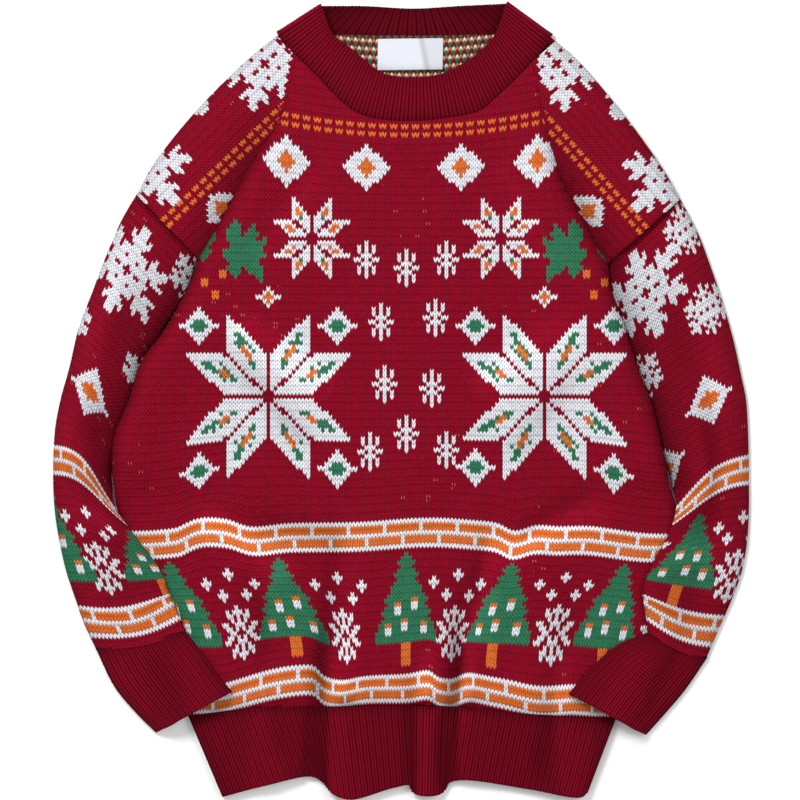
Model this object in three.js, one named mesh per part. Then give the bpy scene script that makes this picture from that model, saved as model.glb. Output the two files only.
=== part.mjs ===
import * as THREE from 'three';

// Knitted Christmas sweater, laid flat on its back with the arms folded down.
// Millimetres; +Y runs from the hem to the neck, +X to the right, +Z up from
// the surface that it lies on. Left and right are those of the view from above.

// Knit and seams
const wall = 3;             // one layer of jacquard knit with the floats behind it
const seamGap = 0.3;        // the pieces end this far apart at a seam
const layerGap = 0.7;       // air between two layers that lie on each other
const ribHeight = 0.8;      // how far a rib stands proud of its groove
const labelThickness = 0.8;

// Puff of each part: how far its upper layer rises over the lower one
const chestRoll = 5.2;      // beside the crease from the neck to the armpit
const chestPuff = 3.2;      // down the side of the chest
const shoulderPuff = 2.6;
const sleevePuff = 2.8;
const sideCurl = 5;         // how far the side seam curls up from the surface
const neckRise = 1.9;       // height of the neckline's front edge over the back
const collarStand = 3.2;    // how far the free edge of the neck rib stands up

// How many ribs show
const hemRibs = 76;
const cuffRibs = 17;
const neckFrontRibs = 66;
const neckBackRibs = 40;

// Grid of the body: rows from the hem to the armhole and on to the neck
const sideRows = 18;
const creaseRows = 9;
const chestColumns = 28;
const shoulderColumns = 5;

const knitRed = 0x8c1029;
const ribRed = 0x7a0c22;
const satinWhite = 0xe6e8ee;

// Side of the body, from the hem seam up to the end of the dropped shoulder seam
const leftSide = [
  { x: -191, y: -281 }, { x: -206, y: -258 }, { x: -223, y: -214 }, { x: -239, y: -165 },
  { x: -248, y: -116 }, { x: -255, y: -83 }, { x: -257, y: -49 }, { x: -253, y: -26 },
  { x: -242, y: 0 }, { x: -231, y: 34 }, { x: -208, y: 66 }, { x: -188, y: 104 },
  { x: -180, y: 125 },
];
const rightSide = [
  { x: 193, y: -283 }, { x: 207, y: -258 }, { x: 227, y: -214 }, { x: 241, y: -165 },
  { x: 248, y: -116 }, { x: 239, y: -75 }, { x: 232, y: -41 }, { x: 222, y: 0 },
  { x: 214, y: 20 }, { x: 206, y: 43 }, { x: 197, y: 72 }, { x: 188, y: 95 },
  { x: 184, y: 121 },
];

// Crease where the chest lies over the shoulder, from the armhole to the neck
const leftCrease = [
  { x: -180, y: 125 }, { x: -157, y: 166 }, { x: -133, y: 211 }, { x: -104, y: 257 },
  { x: -93, y: 306 },
];
const rightCrease = [
  { x: 184, y: 121 }, { x: 163, y: 158 }, { x: 143, y: 197 }, { x: 126, y: 254 },
  { x: 117, y: 301 },
];

// Shoulder slope, from the dropped seam to the neck
const leftShoulder = [
  { x: -235, y: 182 }, { x: -221, y: 208 }, { x: -184, y: 255 }, { x: -137, y: 302 },
  { x: -109, y: 325 },
];
const rightShoulder = [
  { x: 248, y: 178 }, { x: 235, y: 202 }, { x: 198, y: 254 }, { x: 156, y: 303 },
  { x: 133, y: 323 },
];

// Seams of the neck rib: deep at the front, nearly straight at the back
const leftNeckEnd = [{ x: -93, y: 306 }, { x: -109, y: 325 }];
const rightNeckEnd = [{ x: 117, y: 301 }, { x: 133, y: 323 }];
const frontNeckSeam = [
  { x: -93, y: 306 }, { x: -71, y: 284 }, { x: -56, y: 268 }, { x: -39, y: 255 },
  { x: -15, y: 249 }, { x: 11, y: 248 }, { x: 36, y: 250 }, { x: 70, y: 257 },
  { x: 87, y: 271 }, { x: 117, y: 301 },
];
const backNeckSeam = [
  { x: -109, y: 325 }, { x: -72, y: 325 }, { x: 11, y: 324 }, { x: 88, y: 325 },
  { x: 133, y: 323 },
];

// Free edges of the neck rib
const frontNeckEdge = [
  { x: -70, y: 350 }, { x: -60, y: 325 }, { x: -45, y: 313 }, { x: -32, y: 302 },
  { x: -19, y: 292 }, { x: -6, y: 288 }, { x: 15, y: 287 }, { x: 36, y: 290 },
  { x: 53, y: 298 }, { x: 70, y: 310 }, { x: 84, y: 326 }, { x: 93, y: 352 },
];
const backNeckEdge = [
  { x: -70, y: 350 }, { x: -32, y: 350 }, { x: 12, y: 348 }, { x: 49, y: 350 },
  { x: 93, y: 352 },
];

// Hem: the seam to the rib, and the rib's free edge with its waves
const hemSeam = [
  { x: -191, y: -281 }, { x: -134, y: -274 }, { x: -81, y: -273 }, { x: 4, y: -271 },
  { x: 53, y: -273 }, { x: 115, y: -279 }, { x: 193, y: -283 },
];
const hemEdge = [
  { x: -159, y: -353 }, { x: -121, y: -343 }, { x: -79, y: -335 }, { x: -68, y: -341 },
  { x: -61, y: -350 }, { x: -44, y: -355 }, { x: -7, y: -345 }, { x: 8, y: -343 },
  { x: 12, y: -350 }, { x: 24, y: -352 }, { x: 36, y: -350 }, { x: 42, y: -341 },
  { x: 56, y: -338 }, { x: 113, y: -346 }, { x: 161, y: -353 }, { x: 167, y: -347 },
];

// Sleeves and cuffs: a row for each section, its outer and its inner edge
const leftSleeve = [
  { outerX: -236, outerY: 181.5, innerX: -181, innerY: 124 },
  { outerX: -248, outerY: 161, innerX: -194, innerY: 99 },
  { outerX: -262, outerY: 129, innerX: -207, innerY: 77 },
  { outerX: -275, outerY: 95, innerX: -222, innerY: 53 },
  { outerX: -287, outerY: 63, innerX: -235.5, innerY: 31 },
  { outerX: -295, outerY: 29, innerX: -243, innerY: 0 },
  { outerX: -303, outerY: 0, innerX: -254, innerY: -27 },
  { outerX: -308, outerY: -28, innerX: -258, innerY: -49 },
  { outerX: -309.5, outerY: -67, innerX: -257, innerY: -76 },
  { outerX: -308.5, outerY: -93, innerX: -253.5, innerY: -96 },
  { outerX: -306, outerY: -114, innerX: -238, innerY: -118 },
  { outerX: -298, outerY: -152, innerX: -214, innerY: -151 },
  { outerX: -290, outerY: -176, innerX: -206, innerY: -171 },
  { outerX: -282, outerY: -199, innerX: -197, innerY: -190 },
  { outerX: -271, outerY: -222, innerX: -191, innerY: -205 },
];
const leftCuff = [
  { outerX: -271, outerY: -222.4, innerX: -191, innerY: -205.4 },
  { outerX: -255, outerY: -255, innerX: -172, innerY: -230 },
  { outerX: -237, outerY: -277, innerX: -160, innerY: -247 },
  { outerX: -218, outerY: -296, innerX: -150, innerY: -259 },
];
const rightSleeve = [
  { outerX: 249, outerY: 177.5, innerX: 185, innerY: 120 },
  { outerX: 263, outerY: 151, innerX: 190, innerY: 94 },
  { outerX: 276, outerY: 117, innerX: 198, innerY: 73 },
  { outerX: 287, outerY: 84, innerX: 207, innerY: 44 },
  { outerX: 296, outerY: 52, innerX: 215, innerY: 20 },
  { outerX: 303, outerY: 20, innerX: 223.5, innerY: 0 },
  { outerX: 307, outerY: 0, innerX: 229, innerY: -20 },
  { outerX: 309, outerY: -36, innerX: 234, innerY: -43 },
  { outerX: 309.5, outerY: -71, innerX: 240.5, innerY: -75 },
  { outerX: 309.5, outerY: -98, innerX: 244.5, innerY: -93 },
  { outerX: 308, outerY: -125, innerX: 239, innerY: -116 },
  { outerX: 303, outerY: -153, innerX: 222, innerY: -148 },
  { outerX: 294, outerY: -178, innerX: 215, innerY: -170 },
  { outerX: 284, outerY: -201, innerX: 217, innerY: -189 },
  { outerX: 271, outerY: -231, innerX: 219, innerY: -206 },
];
const rightCuff = [
  { outerX: 271, outerY: -231.4, innerX: 219, innerY: -206.4 },
  { outerX: 252, outerY: -259, innerX: 190, innerY: -219 },
  { outerX: 235, outerY: -279, innerX: 166, innerY: -241 },
  { outerX: 218, outerY: -298, innerX: 149, innerY: -261 },
];

// Soft folds of the front, each from (x, y) to (endX, endY); a trough is negative
const frontFolds = [
  { x: -74, y: -190, endX: -72, endY: -340, width: 9, height: -1.4 },
  { x: -52, y: -215, endX: -48, endY: -352, width: 11, height: 1.6 },
  { x: 8, y: -235, endX: 9, endY: -345, width: 7, height: -1.2 },
  { x: 25, y: -215, endX: 25, endY: -352, width: 9, height: 2 },
  { x: 50, y: -150, endX: 45, endY: -342, width: 9, height: -1.6 },
  { x: 140, y: -215, endX: 158, endY: -350, width: 12, height: 1.4 },
  { x: -165, y: -112, endX: -118, endY: -150, width: 16, height: 1.8 },
  { x: -135, y: -95, endX: -60, endY: -120, width: 14, height: -1 },
  { x: 150, y: -100, endX: 60, endY: -135, width: 18, height: 1.4 },
  { x: -150, y: 60, endX: -60, endY: 20, width: 16, height: 1.2 },
  { x: 150, y: 62, endX: 70, endY: 15, width: 16, height: 1.3 },
];

// Sleeve folds: share of the length and of the width (0 outer, 1 inner) where each is deepest
const leftSleeveFolds = [
  { along: 0.22, across: 0.62, length: 0.12, width: 0.22, height: -1.1 },
  { along: 0.46, across: 0.7, length: 0.1, width: 0.25, height: -1.2 },
  { along: 0.6, across: 0.35, length: 0.1, width: 0.2, height: -0.9 },
  { along: 0.86, across: 0.6, length: 0.07, width: 0.3, height: -1.2 },
];
const rightSleeveFolds = [
  { along: 0.26, across: 0.5, length: 0.14, width: 0.16, height: -1 },
  { along: 0.52, across: 0.42, length: 0.14, width: 0.1, height: -1.5 },
  { along: 0.7, across: 0.6, length: 0.08, width: 0.2, height: -1 },
  { along: 0.9, across: 0.66, length: 0.07, width: 0.18, height: -1.5 },
];

const { clamp, lerp, smoothstep } = THREE.MathUtils;

// Smooth curve through a table's rows; t runs from 0 at the first row to 1 at the last
function curveThrough(rows) {
  const points = rows.map((row) => new THREE.Vector3(row.x, row.y, 0));
  const curve = new THREE.CatmullRomCurve3(points, false, 'centripetal');
  curve.arcLengthDivisions = 400;
  return (t) => curve.getPointAt(clamp(t, 0, 1));
}

// Two curves end to end, the second one starting at t = share
function joined(first, second, share) {
  return (t) => (t <= share ? first(t / share) : second((t - share) / (1 - share)));
}

// Coons patch: the blend of the two sides, plus the blend of the two ends,
// less the blend of the four corners
function coonsPatch(bottom, top, left, right) {
  return (u, v) => {
    const sides = left(v).lerp(right(v), u);
    const ends = bottom(u).lerp(top(u), v);
    const lowCorners = bottom(0).lerp(bottom(1), u);
    const highCorners = top(0).lerp(top(1), u);
    return sides.add(ends).sub(lowCorners.lerp(highCorners, v));
  };
}

// Columns crowd together at both edges, as a cosine does, where the cloth turns
function crowded(step, steps) {
  return (1 - Math.cos((Math.PI * step) / steps)) / 2;
}

// Rise from 0 at an edge to 1 at the given distance from it, round as a quarter circle
function roundedEdge(distance, radius) {
  const t = 1 - clamp(distance / radius, 0, 1);
  return Math.sqrt(1 - t * t);
}

// A fold's height at a point: a Gaussian across its line, fading at its ends
function foldHeight(folds, x, y) {
  return folds.reduce((sum, fold) => {
    const dx = fold.endX - fold.x;
    const dy = fold.endY - fold.y;
    const length = Math.hypot(dx, dy);
    const along = ((x - fold.x) * dx + (y - fold.y) * dy) / length;
    const across = ((x - fold.x) * dy - (y - fold.y) * dx) / length;
    const fade = smoothstep(along, -0.1 * length, 0.45 * length)
      * (1 - smoothstep(along, length, 1.2 * length));
    return sum + fold.height * fade * Math.exp(-((across / fold.width) ** 2));
  }, 0);
}

const leftSideCurve = curveThrough(leftSide);
const rightSideCurve = curveThrough(rightSide);

// X of the body's side at a height y, read along its curve
function sideAt(curve, y) {
  let low = 0;
  let high = 1;
  for (let step = 0; step < 24; step += 1) {
    const middle = (low + high) / 2;
    if (curve(middle).y < y) {
      low = middle;
    } else {
      high = middle;
    }
  }
  return curve(low).x;
}

// Distance of a point inside the body's nearer side, negative outside
function insideBody(x, y) {
  return x < 0 ? x - sideAt(leftSideCurve, y) : sideAt(rightSideCurve, y) - x;
}

// The back curls up from the surface along the side of the chest
function backLift(distance, y) {
  const height = sideCurl * smoothstep(y, -108, -45) * (1 - smoothstep(y, 45, 115));
  return height * (1 - smoothstep(distance, 10, 58));
}

// Height of the surface that a forearm lies on: the floor, then over the body's side
function forearmRest(x, y) {
  const overBody = 2 * wall + layerGap + 1.1;
  const low = 1 - smoothstep(y, -98, -72);
  return overBody * low * smoothstep(insideBody(x, y), -26, -8);
}

// A closed wall from an open surface of quads: each point has a partner on the
// other face, and each edge that one quad alone uses gets a side wall
class Surface {
  constructor() {
    this.points = [];
    this.quads = [];
    this.indexOf = new Map();
  }

  point(x, y, top, bottom) {
    const key = `${Math.round(x * 1000)} ${Math.round(y * 1000)}`;
    if (!this.indexOf.has(key)) {
      this.indexOf.set(key, this.points.length);
      this.points.push({ x, y, top, bottom });
    }
    return this.indexOf.get(key);
  }

  grid(columns, rows, place) {
    const index = [];
    for (let row = 0; row <= rows; row += 1) {
      index.push([]);
      for (let column = 0; column <= columns; column += 1) {
        const at = place(column, row);
        index[row].push(this.point(at.x, at.y, at.top, at.bottom));
      }
    }
    for (let row = 0; row < rows; row += 1) {
      for (let column = 0; column < columns; column += 1) {
        const quad = [
          index[row][column], index[row][column + 1],
          index[row + 1][column + 1], index[row + 1][column],
        ];
        this.quads.push(this.turnsLeft(quad) ? quad : quad.reverse());
      }
    }
  }

  turnsLeft([a, b, c, d]) {
    const [from, to] = [[this.points[a], this.points[c]], [this.points[b], this.points[d]]];
    const [fromX, fromY] = [from[1].x - from[0].x, from[1].y - from[0].y];
    return fromX * (to[1].y - to[0].y) > fromY * (to[1].x - to[0].x);
  }

  geometry() {
    const count = this.points.length;
    const positions = [];
    this.points.forEach((at) => positions.push(at.x, at.y, at.top));
    this.points.forEach((at) => positions.push(at.x, at.y, at.bottom));
    const triangles = [];
    const open = new Map();
    this.quads.forEach(([a, b, c, d]) => {
      triangles.push(a, b, c, a, c, d);
      triangles.push(a + count, c + count, b + count, a + count, d + count, c + count);
      [[a, b], [b, c], [c, d], [d, a]].forEach(([from, to]) => {
        if (open.has(`${to} ${from}`)) {
          open.delete(`${to} ${from}`);
        } else {
          open.set(`${from} ${to}`, [from, to]);
        }
      });
    });
    open.forEach(([from, to]) => {
      triangles.push(from, from + count, to + count, from, to + count, to);
    });
    return closedGeometry(positions, triangles);
  }
}

// Geometry of a closed body, turned so that its faces point out
function closedGeometry(positions, triangles) {
  let volume = 0;
  const corner = (index) => new THREE.Vector3().fromArray(positions, 3 * index);
  for (let at = 0; at < triangles.length; at += 3) {
    const [a, b, c] = [0, 1, 2].map((k) => corner(triangles[at + k]));
    volume += a.dot(b.cross(c));
  }
  if (volume < 0) {
    triangles.reverse();
  }
  const geometry = new THREE.BufferGeometry();
  geometry.setAttribute('position', new THREE.Float32BufferAttribute(positions, 3));
  geometry.setIndex(triangles);
  geometry.computeVertexNormals();
  return geometry;
}

// A wall that runs round in a closed loop: for each station along it, an outer and
// an inner loop of points, joined at the two open ends
function loopGeometry(outerLoops, innerLoops) {
  const around = outerLoops[0].length;
  const stations = outerLoops.length;
  const positions = [];
  [...outerLoops, ...innerLoops].flat().forEach((at) => positions.push(at.x, at.y, at.z));
  const outer = (station, k) => station * around + (k % around);
  const inner = (station, k) => (stations + station) * around + (k % around);
  const triangles = [];
  const quad = (a, b, c, d) => triangles.push(a, b, c, a, c, d);
  for (let station = 0; station < stations - 1; station += 1) {
    for (let k = 0; k < around; k += 1) {
      const next = station + 1;
      quad(outer(station, k), outer(station, k + 1), outer(next, k + 1), outer(next, k));
      quad(inner(station, k + 1), inner(station, k), inner(next, k), inner(next, k + 1));
    }
  }
  for (let k = 0; k < around; k += 1) {
    quad(outer(0, k + 1), outer(0, k), inner(0, k), inner(0, k + 1));
    const end = stations - 1;
    quad(outer(end, k), outer(end, k + 1), inner(end, k + 1), inner(end, k));
  }
  return closedGeometry(positions, triangles);
}

// One loop round a flattened tube between two edge points. Across the tube, s runs
// from -1 to 1 and the height is (1 - |s|^p)^(1/p): flat, with round edges.
function flatLoop(section, inset) {
  const roundness = 5;
  const half = wall + layerGap / 2;
  const { left, right, topSteps, bottomSteps, crown, rib, rest, fold } = section;
  const chord = right.clone().sub(left);
  const shrink = 1 - (2 * inset) / chord.length();
  const loop = [];
  const add = (s, side, step) => {
    const at = left.clone().lerp(right, 0.5 + 0.5 * s * shrink);
    const swell = (1 - Math.abs(s) ** roundness) ** (1 / roundness);
    const puff = side > 0 ? crown * (1 - s * s) ** 0.7 + fold(0.5 + 0.5 * s) * (1 - s * s) : 0;
    const raised = side > 0 && inset === 0 && step % 2 === 1 ? rib * swell : 0;
    at.z = half + side * (half - inset) * swell + Math.max(puff, 0) + raised + rest(at.x, at.y);
    loop.push(at);
  };
  for (let step = 0; step < topSteps; step += 1) {
    add(rib > 0 ? (2 * step) / topSteps - 1 : 2 * crowded(step, topSteps) - 1, 1, step);
  }
  for (let step = 0; step < bottomSteps; step += 1) {
    add(1 - 2 * crowded(step, bottomSteps), -1, step);
  }
  return loop;
}

// Flattened tube through the sections of a table
function sleeveTube(rows, look) {
  const outerEdge = new THREE.CatmullRomCurve3(
    rows.map((row) => new THREE.Vector3(row.outerX, row.outerY, 0)), false, 'centripetal');
  const innerEdge = new THREE.CatmullRomCurve3(
    rows.map((row) => new THREE.Vector3(row.innerX, row.innerY, 0)), false, 'centripetal');
  const loops = [0, wall].map((inset) => {
    const stations = [];
    for (let station = 0; station <= look.stations; station += 1) {
      const t = station / look.stations;
      stations.push(flatLoop({
        left: outerEdge.getPoint(t),
        right: innerEdge.getPoint(t),
        topSteps: look.topSteps,
        bottomSteps: look.bottomSteps,
        crown: look.crown(t),
        rib: look.rib,
        rest: forearmRest,
        fold: (across) => look.folds.reduce((sum, fold) => sum + fold.height
          * Math.exp(-(((t - fold.along) / fold.length) ** 2))
          * Math.exp(-(((across - fold.across) / fold.width) ** 2)), 0),
      }, inset));
    }
    return stations;
  });
  return loopGeometry(loops[0], loops[1]);
}

const bodyRows = sideRows + creaseRows;
const armholeShare = sideRows / bodyRows;
const hemSeamCurve = curveThrough(hemSeam);
const frontNeckCurve = curveThrough(frontNeckSeam);
const chestLeft = joined(leftSideCurve, curveThrough(leftCrease), armholeShare);
const chestRight = joined(rightSideCurve, curveThrough(rightCrease), armholeShare);
const chest = coonsPatch(hemSeamCurve, frontNeckCurve, chestLeft, chestRight);

// Gap between the front and the back at a point of the chest
function chestGap(at, v) {
  const fromLeft = at.distanceTo(chestLeft(v));
  const fromRight = at.distanceTo(chestRight(v));
  const fromEdge = Math.min(fromLeft, fromRight);
  const overArmhole = smoothstep(v, armholeShare - 0.12, armholeShare + 0.06);
  const besideArm = smoothstep(at.y, -98, -60);
  const amount = lerp(chestPuff * besideArm, chestRoll, overArmhole) * (1 - smoothstep(v, 0.88, 1));
  const reach = lerp(70, 34, overArmhole);
  const puff = amount * roundedEdge(fromEdge, 12) * (1 - 0.75 * smoothstep(fromEdge, 12, reach));
  const aboveHem = 2 * smoothstep(v, 0, 0.05) * (1 - smoothstep(v, 0.05, 0.2));
  const middle = smoothstep(fromEdge, 55, 80);
  const atNeck = neckRise * smoothstep(v, 0.9, 1);
  const folds = foldHeight(frontFolds, at.x, at.y) * middle;
  const gap = layerGap + puff + atNeck + Math.max(aboveHem * middle + folds, -0.3);
  const sewn = overArmhole > 0 ? 1 : smoothstep(fromEdge, 0, 3);
  return lerp(seamGap, gap, sewn);
}

function frontPoint(at, v) {
  const distance = Math.min(at.distanceTo(chestLeft(v)), at.distanceTo(chestRight(v)));
  const bottom = wall + chestGap(at, v) + backLift(distance, at.y);
  return { x: at.x, y: at.y, top: bottom + wall, bottom };
}

// Shoulder end of the front, from the crease out to the shoulder slope
function shoulderGrid(surface, creaseCurve, shoulderRows, neckEndRows) {
  const shoulder = curveThrough(shoulderRows);
  const crease = curveThrough(creaseCurve);
  const seam = (u) => crease(0).lerp(shoulder(0), u);
  const patch = coonsPatch(seam, curveThrough(neckEndRows), crease, shoulder);
  surface.grid(shoulderColumns, creaseRows, (column, row) => {
    const v = row / creaseRows;
    const u = column / shoulderColumns;
    if (column === 0) {
      return frontPoint(crease(v), armholeShare + v * (1 - armholeShare));
    }
    const at = patch(u, v);
    const fromSlope = at.distanceTo(shoulder(v));
    const fromCrease = at.distanceTo(crease(v));
    const swell = roundedEdge(fromSlope, 16) * smoothstep(fromCrease, 4, 26);
    const atNeck = neckRise * smoothstep(v, 0.75, 1) * roundedEdge(fromSlope, 8);
    const bottom = wall + lerp(seamGap, layerGap, roundedEdge(fromSlope, 8))
      + shoulderPuff * swell * (1 - smoothstep(v, 0.7, 1)) + atNeck;
    return { x: at.x, y: at.y, top: bottom + wall, bottom };
  });
}

function frontPanel() {
  const surface = new Surface();
  surface.grid(chestColumns, bodyRows, (column, row) => {
    const v = row / bodyRows;
    return frontPoint(chest(crowded(column, chestColumns), v), v);
  });
  shoulderGrid(surface, leftCrease, leftShoulder, leftNeckEnd);
  shoulderGrid(surface, rightCrease, rightShoulder, rightNeckEnd);
  return surface.geometry();
}

// The back lies flat, from the hem to the shoulder slopes and the back of the neck
function backPanel() {
  const toShoulder = (side, shoulder) => {
    const seam = (t) => side(1).lerp(shoulder(0), t);
    return joined(side, seam, armholeShare);
  };
  const slopeLeft = curveThrough(leftShoulder);
  const slopeRight = curveThrough(rightShoulder);
  const neck = curveThrough(backNeckSeam);
  const slopeShare = 0.28;
  const top = (u) => {
    if (u < slopeShare) {
      return slopeLeft(u / slopeShare);
    }
    if (u > 1 - slopeShare) {
      return slopeRight((1 - u) / slopeShare);
    }
    return neck((u - slopeShare) / (1 - 2 * slopeShare));
  };
  const left = toShoulder(leftSideCurve, slopeLeft);
  const right = toShoulder(rightSideCurve, slopeRight);
  const patch = coonsPatch(hemSeamCurve, top, left, right);
  const surface = new Surface();
  surface.grid(chestColumns / 2, bodyRows, (column, row) => {
    const v = row / bodyRows;
    const at = patch(crowded(column, chestColumns / 2), v);
    const bottom = backLift(Math.min(at.distanceTo(left(v)), at.distanceTo(right(v))), at.y);
    return { x: at.x, y: at.y, top: bottom + wall, bottom };
  });
  return surface.geometry();
}

// Ribbed tube round the bottom of the body, its free edge in waves
function hemRib() {
  const edge = new THREE.CatmullRomCurve3(
    hemEdge.map((row) => new THREE.Vector3(row.x, row.y, 0)), false, 'centripetal');
  const rows = 3;
  const roundness = 9;
  const widest = 170;
  const half = wall + layerGap / 2;
  const steps = 2 * hemRibs;
  const underSteps = 16;
  const station = (v, inset) => {
    const loop = [];
    const add = (s, side, step) => {
      const reach = 0.5 + 0.5 * s * (1 - inset / widest);
      const high = hemSeamCurve(reach);
      const start = new THREE.Vector3(high.x * 0.99, high.y - seamGap * 2, 0);
      const at = start.lerp(edge.getPointAt(reach), v);
      const swell = (1 - Math.abs(s) ** roundness) ** (1 / roundness);
      const fold = Math.max(foldHeight(frontFolds, at.x, at.y), -0.3)
        * smoothstep(1 - Math.abs(s), 0, 0.1);
      const raised = inset === 0 && step % 2 === 1 ? ribHeight : 0;
      at.z = half + side * (half - inset) * swell + (side > 0 ? fold + raised * swell : 0);
      loop.push(at);
    };
    for (let step = 0; step < steps; step += 1) {
      add((2 * step) / steps - 1, 1, step);
    }
    for (let step = 0; step < underSteps; step += 1) {
      add(1 - 2 * crowded(step, underSteps), -1, step);
    }
    return loop;
  };
  const loopsAt = (inset) => Array.from({ length: rows }, (_, row) => station(row / (rows - 1), inset));
  return loopGeometry(loopsAt(0), loopsAt(wall));
}

// Ribbed band round the neck: the front half over the back half, turned over in a
// half circle at each side. Each station has points from the seam to the free edge.
function neckRib() {
  const seamFront = curveThrough([leftNeckEnd[1], ...frontNeckSeam, rightNeckEnd[1]]);
  const seamBack = curveThrough(backNeckSeam);
  const edgeFront = curveThrough(frontNeckEdge);
  const edgeBack = curveThrough(backNeckEdge);
  const turnRadius = 2.4;
  const backMiddle = wall / 2;
  const turnSteps = 4;
  const bandSteps = 2;
  const stations = [];
  const addStation = (seam, edge, outward, angle, step) => {
    const up = Math.sin(angle);
    const outer = [];
    const inner = [];
    for (let k = 0; k <= bandSteps; k += 1) {
      const share = lerp(0.022, 1, k / bandSteps);
      const middle = seam.clone().lerp(edge, share);
      middle.z = backMiddle + turnRadius * (1 + up) + collarStand * share ** 1.5
        + 0.8 * Math.sin(Math.PI * share);
      middle.addScaledVector(outward, turnRadius * Math.cos(angle));
      const face = outward.clone().multiplyScalar(Math.cos(angle));
      face.z = up;
      const rib = step % 2 === 1 ? ribHeight : 0;
      outer.push(middle.clone().addScaledVector(face, wall / 2 + (up > 0.9 ? rib : 0)));
      inner.push(middle.clone().addScaledVector(face, -wall / 2 - (up < -0.9 ? rib : 0)));
    }
    stations.push({ outer, inner });
  };
  const sideways = (seam, edge, side) => {
    const along = edge.clone().sub(seam).normalize();
    return new THREE.Vector3(-along.y, along.x, 0).multiplyScalar(side);
  };
  const leftOut = sideways(seamFront(0), edgeFront(0), 1);
  const rightOut = sideways(seamFront(1), edgeFront(1), -1);
  for (let step = 0; step < 2 * neckFrontRibs; step += 1) {
    const t = (step + 0.5) / (2 * neckFrontRibs);
    addStation(seamFront(t), edgeFront(t), leftOut, Math.PI / 2, step);
  }
  for (let step = 1; step < turnSteps; step += 1) {
    const angle = Math.PI / 2 - (Math.PI * step) / turnSteps;
    addStation(seamFront(1), edgeFront(1), rightOut, angle, 0);
  }
  for (let step = 0; step < 2 * neckBackRibs; step += 1) {
    const t = 1 - (step + 0.5) / (2 * neckBackRibs);
    addStation(seamBack(t), edgeBack(t), leftOut, -Math.PI / 2, step);
  }
  for (let step = 1; step < turnSteps; step += 1) {
    const angle = -Math.PI / 2 + (Math.PI * step) / turnSteps;
    addStation(seamFront(0), edgeFront(0), leftOut, angle, 0);
  }
  const bands = Array.from({ length: bandSteps + 1 }, (_, k) => k);
  const loopsOf = (face) => bands.map((k) => stations.map((at) => at[face][k]));
  return loopGeometry(loopsOf('outer'), loopsOf('inner'));
}

// Satin label, sewn flat inside the back of the neck
function neckLabel() {
  const surface = new Surface();
  const width = 58;
  const height = 26;
  const centreX = 8;
  const topY = 320.5;
  surface.grid(6, 3, (column, row) => {
    const x = centreX + width * (column / 6 - 0.5);
    const y = topY - height * (1 - row / 3);
    const bottom = wall + seamGap;
    return { x, y, top: bottom + labelThickness, bottom };
  });
  return surface.geometry();
}

function named(name, geometry, color, roughness) {
  const material = new THREE.MeshStandardMaterial({ color, roughness, metalness: 0 });
  const mesh = new THREE.Mesh(geometry, material);
  mesh.name = name;
  return mesh;
}

const sleeveLook = (folds) => ({
  stations: 18, topSteps: 14, bottomSteps: 8, rib: 0, folds,
  crown: (t) => sleevePuff * smoothstep(t, 0, 0.06) * (1 - 0.6 * smoothstep(t, 0.94, 1)),
});
const cuffLook = {
  stations: 4, topSteps: 2 * cuffRibs, bottomSteps: 10, rib: ribHeight, folds: [],
  crown: (t) => lerp(0.4 * sleevePuff, 0.7 * sleevePuff, t),
};

const sweater = new THREE.Group();
sweater.add(named('back_panel', backPanel(), knitRed, 0.95));
sweater.add(named('front_panel', frontPanel(), knitRed, 0.95));
const leftTube = sleeveTube(leftSleeve, sleeveLook(leftSleeveFolds));
const rightTube = sleeveTube(rightSleeve, sleeveLook(rightSleeveFolds));
sweater.add(named('left_sleeve', leftTube, knitRed, 0.95));
sweater.add(named('right_sleeve', rightTube, knitRed, 0.95));
sweater.add(named('left_cuff', sleeveTube(leftCuff, cuffLook), ribRed, 0.95));
sweater.add(named('right_cuff', sleeveTube(rightCuff, cuffLook), ribRed, 0.95));
sweater.add(named('hem_rib', hemRib(), ribRed, 0.95));
sweater.add(named('neck_rib', neckRib(), ribRed, 0.95));
sweater.add(named('neck_label', neckLabel(), satinWhite, 0.4));

export default sweater;
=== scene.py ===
import bpy
import numpy as np
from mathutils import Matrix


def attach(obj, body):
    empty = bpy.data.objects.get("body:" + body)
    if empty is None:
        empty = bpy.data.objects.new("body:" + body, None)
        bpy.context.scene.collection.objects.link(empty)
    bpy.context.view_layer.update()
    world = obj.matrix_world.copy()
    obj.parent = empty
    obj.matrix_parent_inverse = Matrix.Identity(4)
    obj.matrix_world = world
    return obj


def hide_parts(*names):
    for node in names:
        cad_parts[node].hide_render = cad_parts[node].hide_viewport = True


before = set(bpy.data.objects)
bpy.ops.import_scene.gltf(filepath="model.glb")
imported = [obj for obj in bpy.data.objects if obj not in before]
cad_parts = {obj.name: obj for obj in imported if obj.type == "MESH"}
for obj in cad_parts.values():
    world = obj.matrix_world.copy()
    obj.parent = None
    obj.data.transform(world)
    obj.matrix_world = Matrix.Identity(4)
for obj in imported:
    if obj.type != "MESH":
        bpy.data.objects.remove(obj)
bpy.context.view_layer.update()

mm = 0.001

# sizes shared by all the knitted pieces, in millimetres
knit = {
    "stitchWidth": 3.23,
    "stitchHeight": 3.69,
    "wall": 3.0,
    "layerGap": 0.7,
    "seamGap": 0.3,
    "seamDrop": 1.15,
    "sideCurl": 5.0,
    "thickness": 2.3,
}
# yarn colours, linear; the pattern names them by their place in this list
yarnColours = np.array([
    [0.262, 0.0036, 0.0185],   # crimson ground
    [0.78, 0.785, 0.84],       # white
    [0.72, 0.155, 0.030],      # orange
    [0.034, 0.185, 0.095],     # green
])
red, white, orange, green = range(4)

print("curves and heights")


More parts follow.
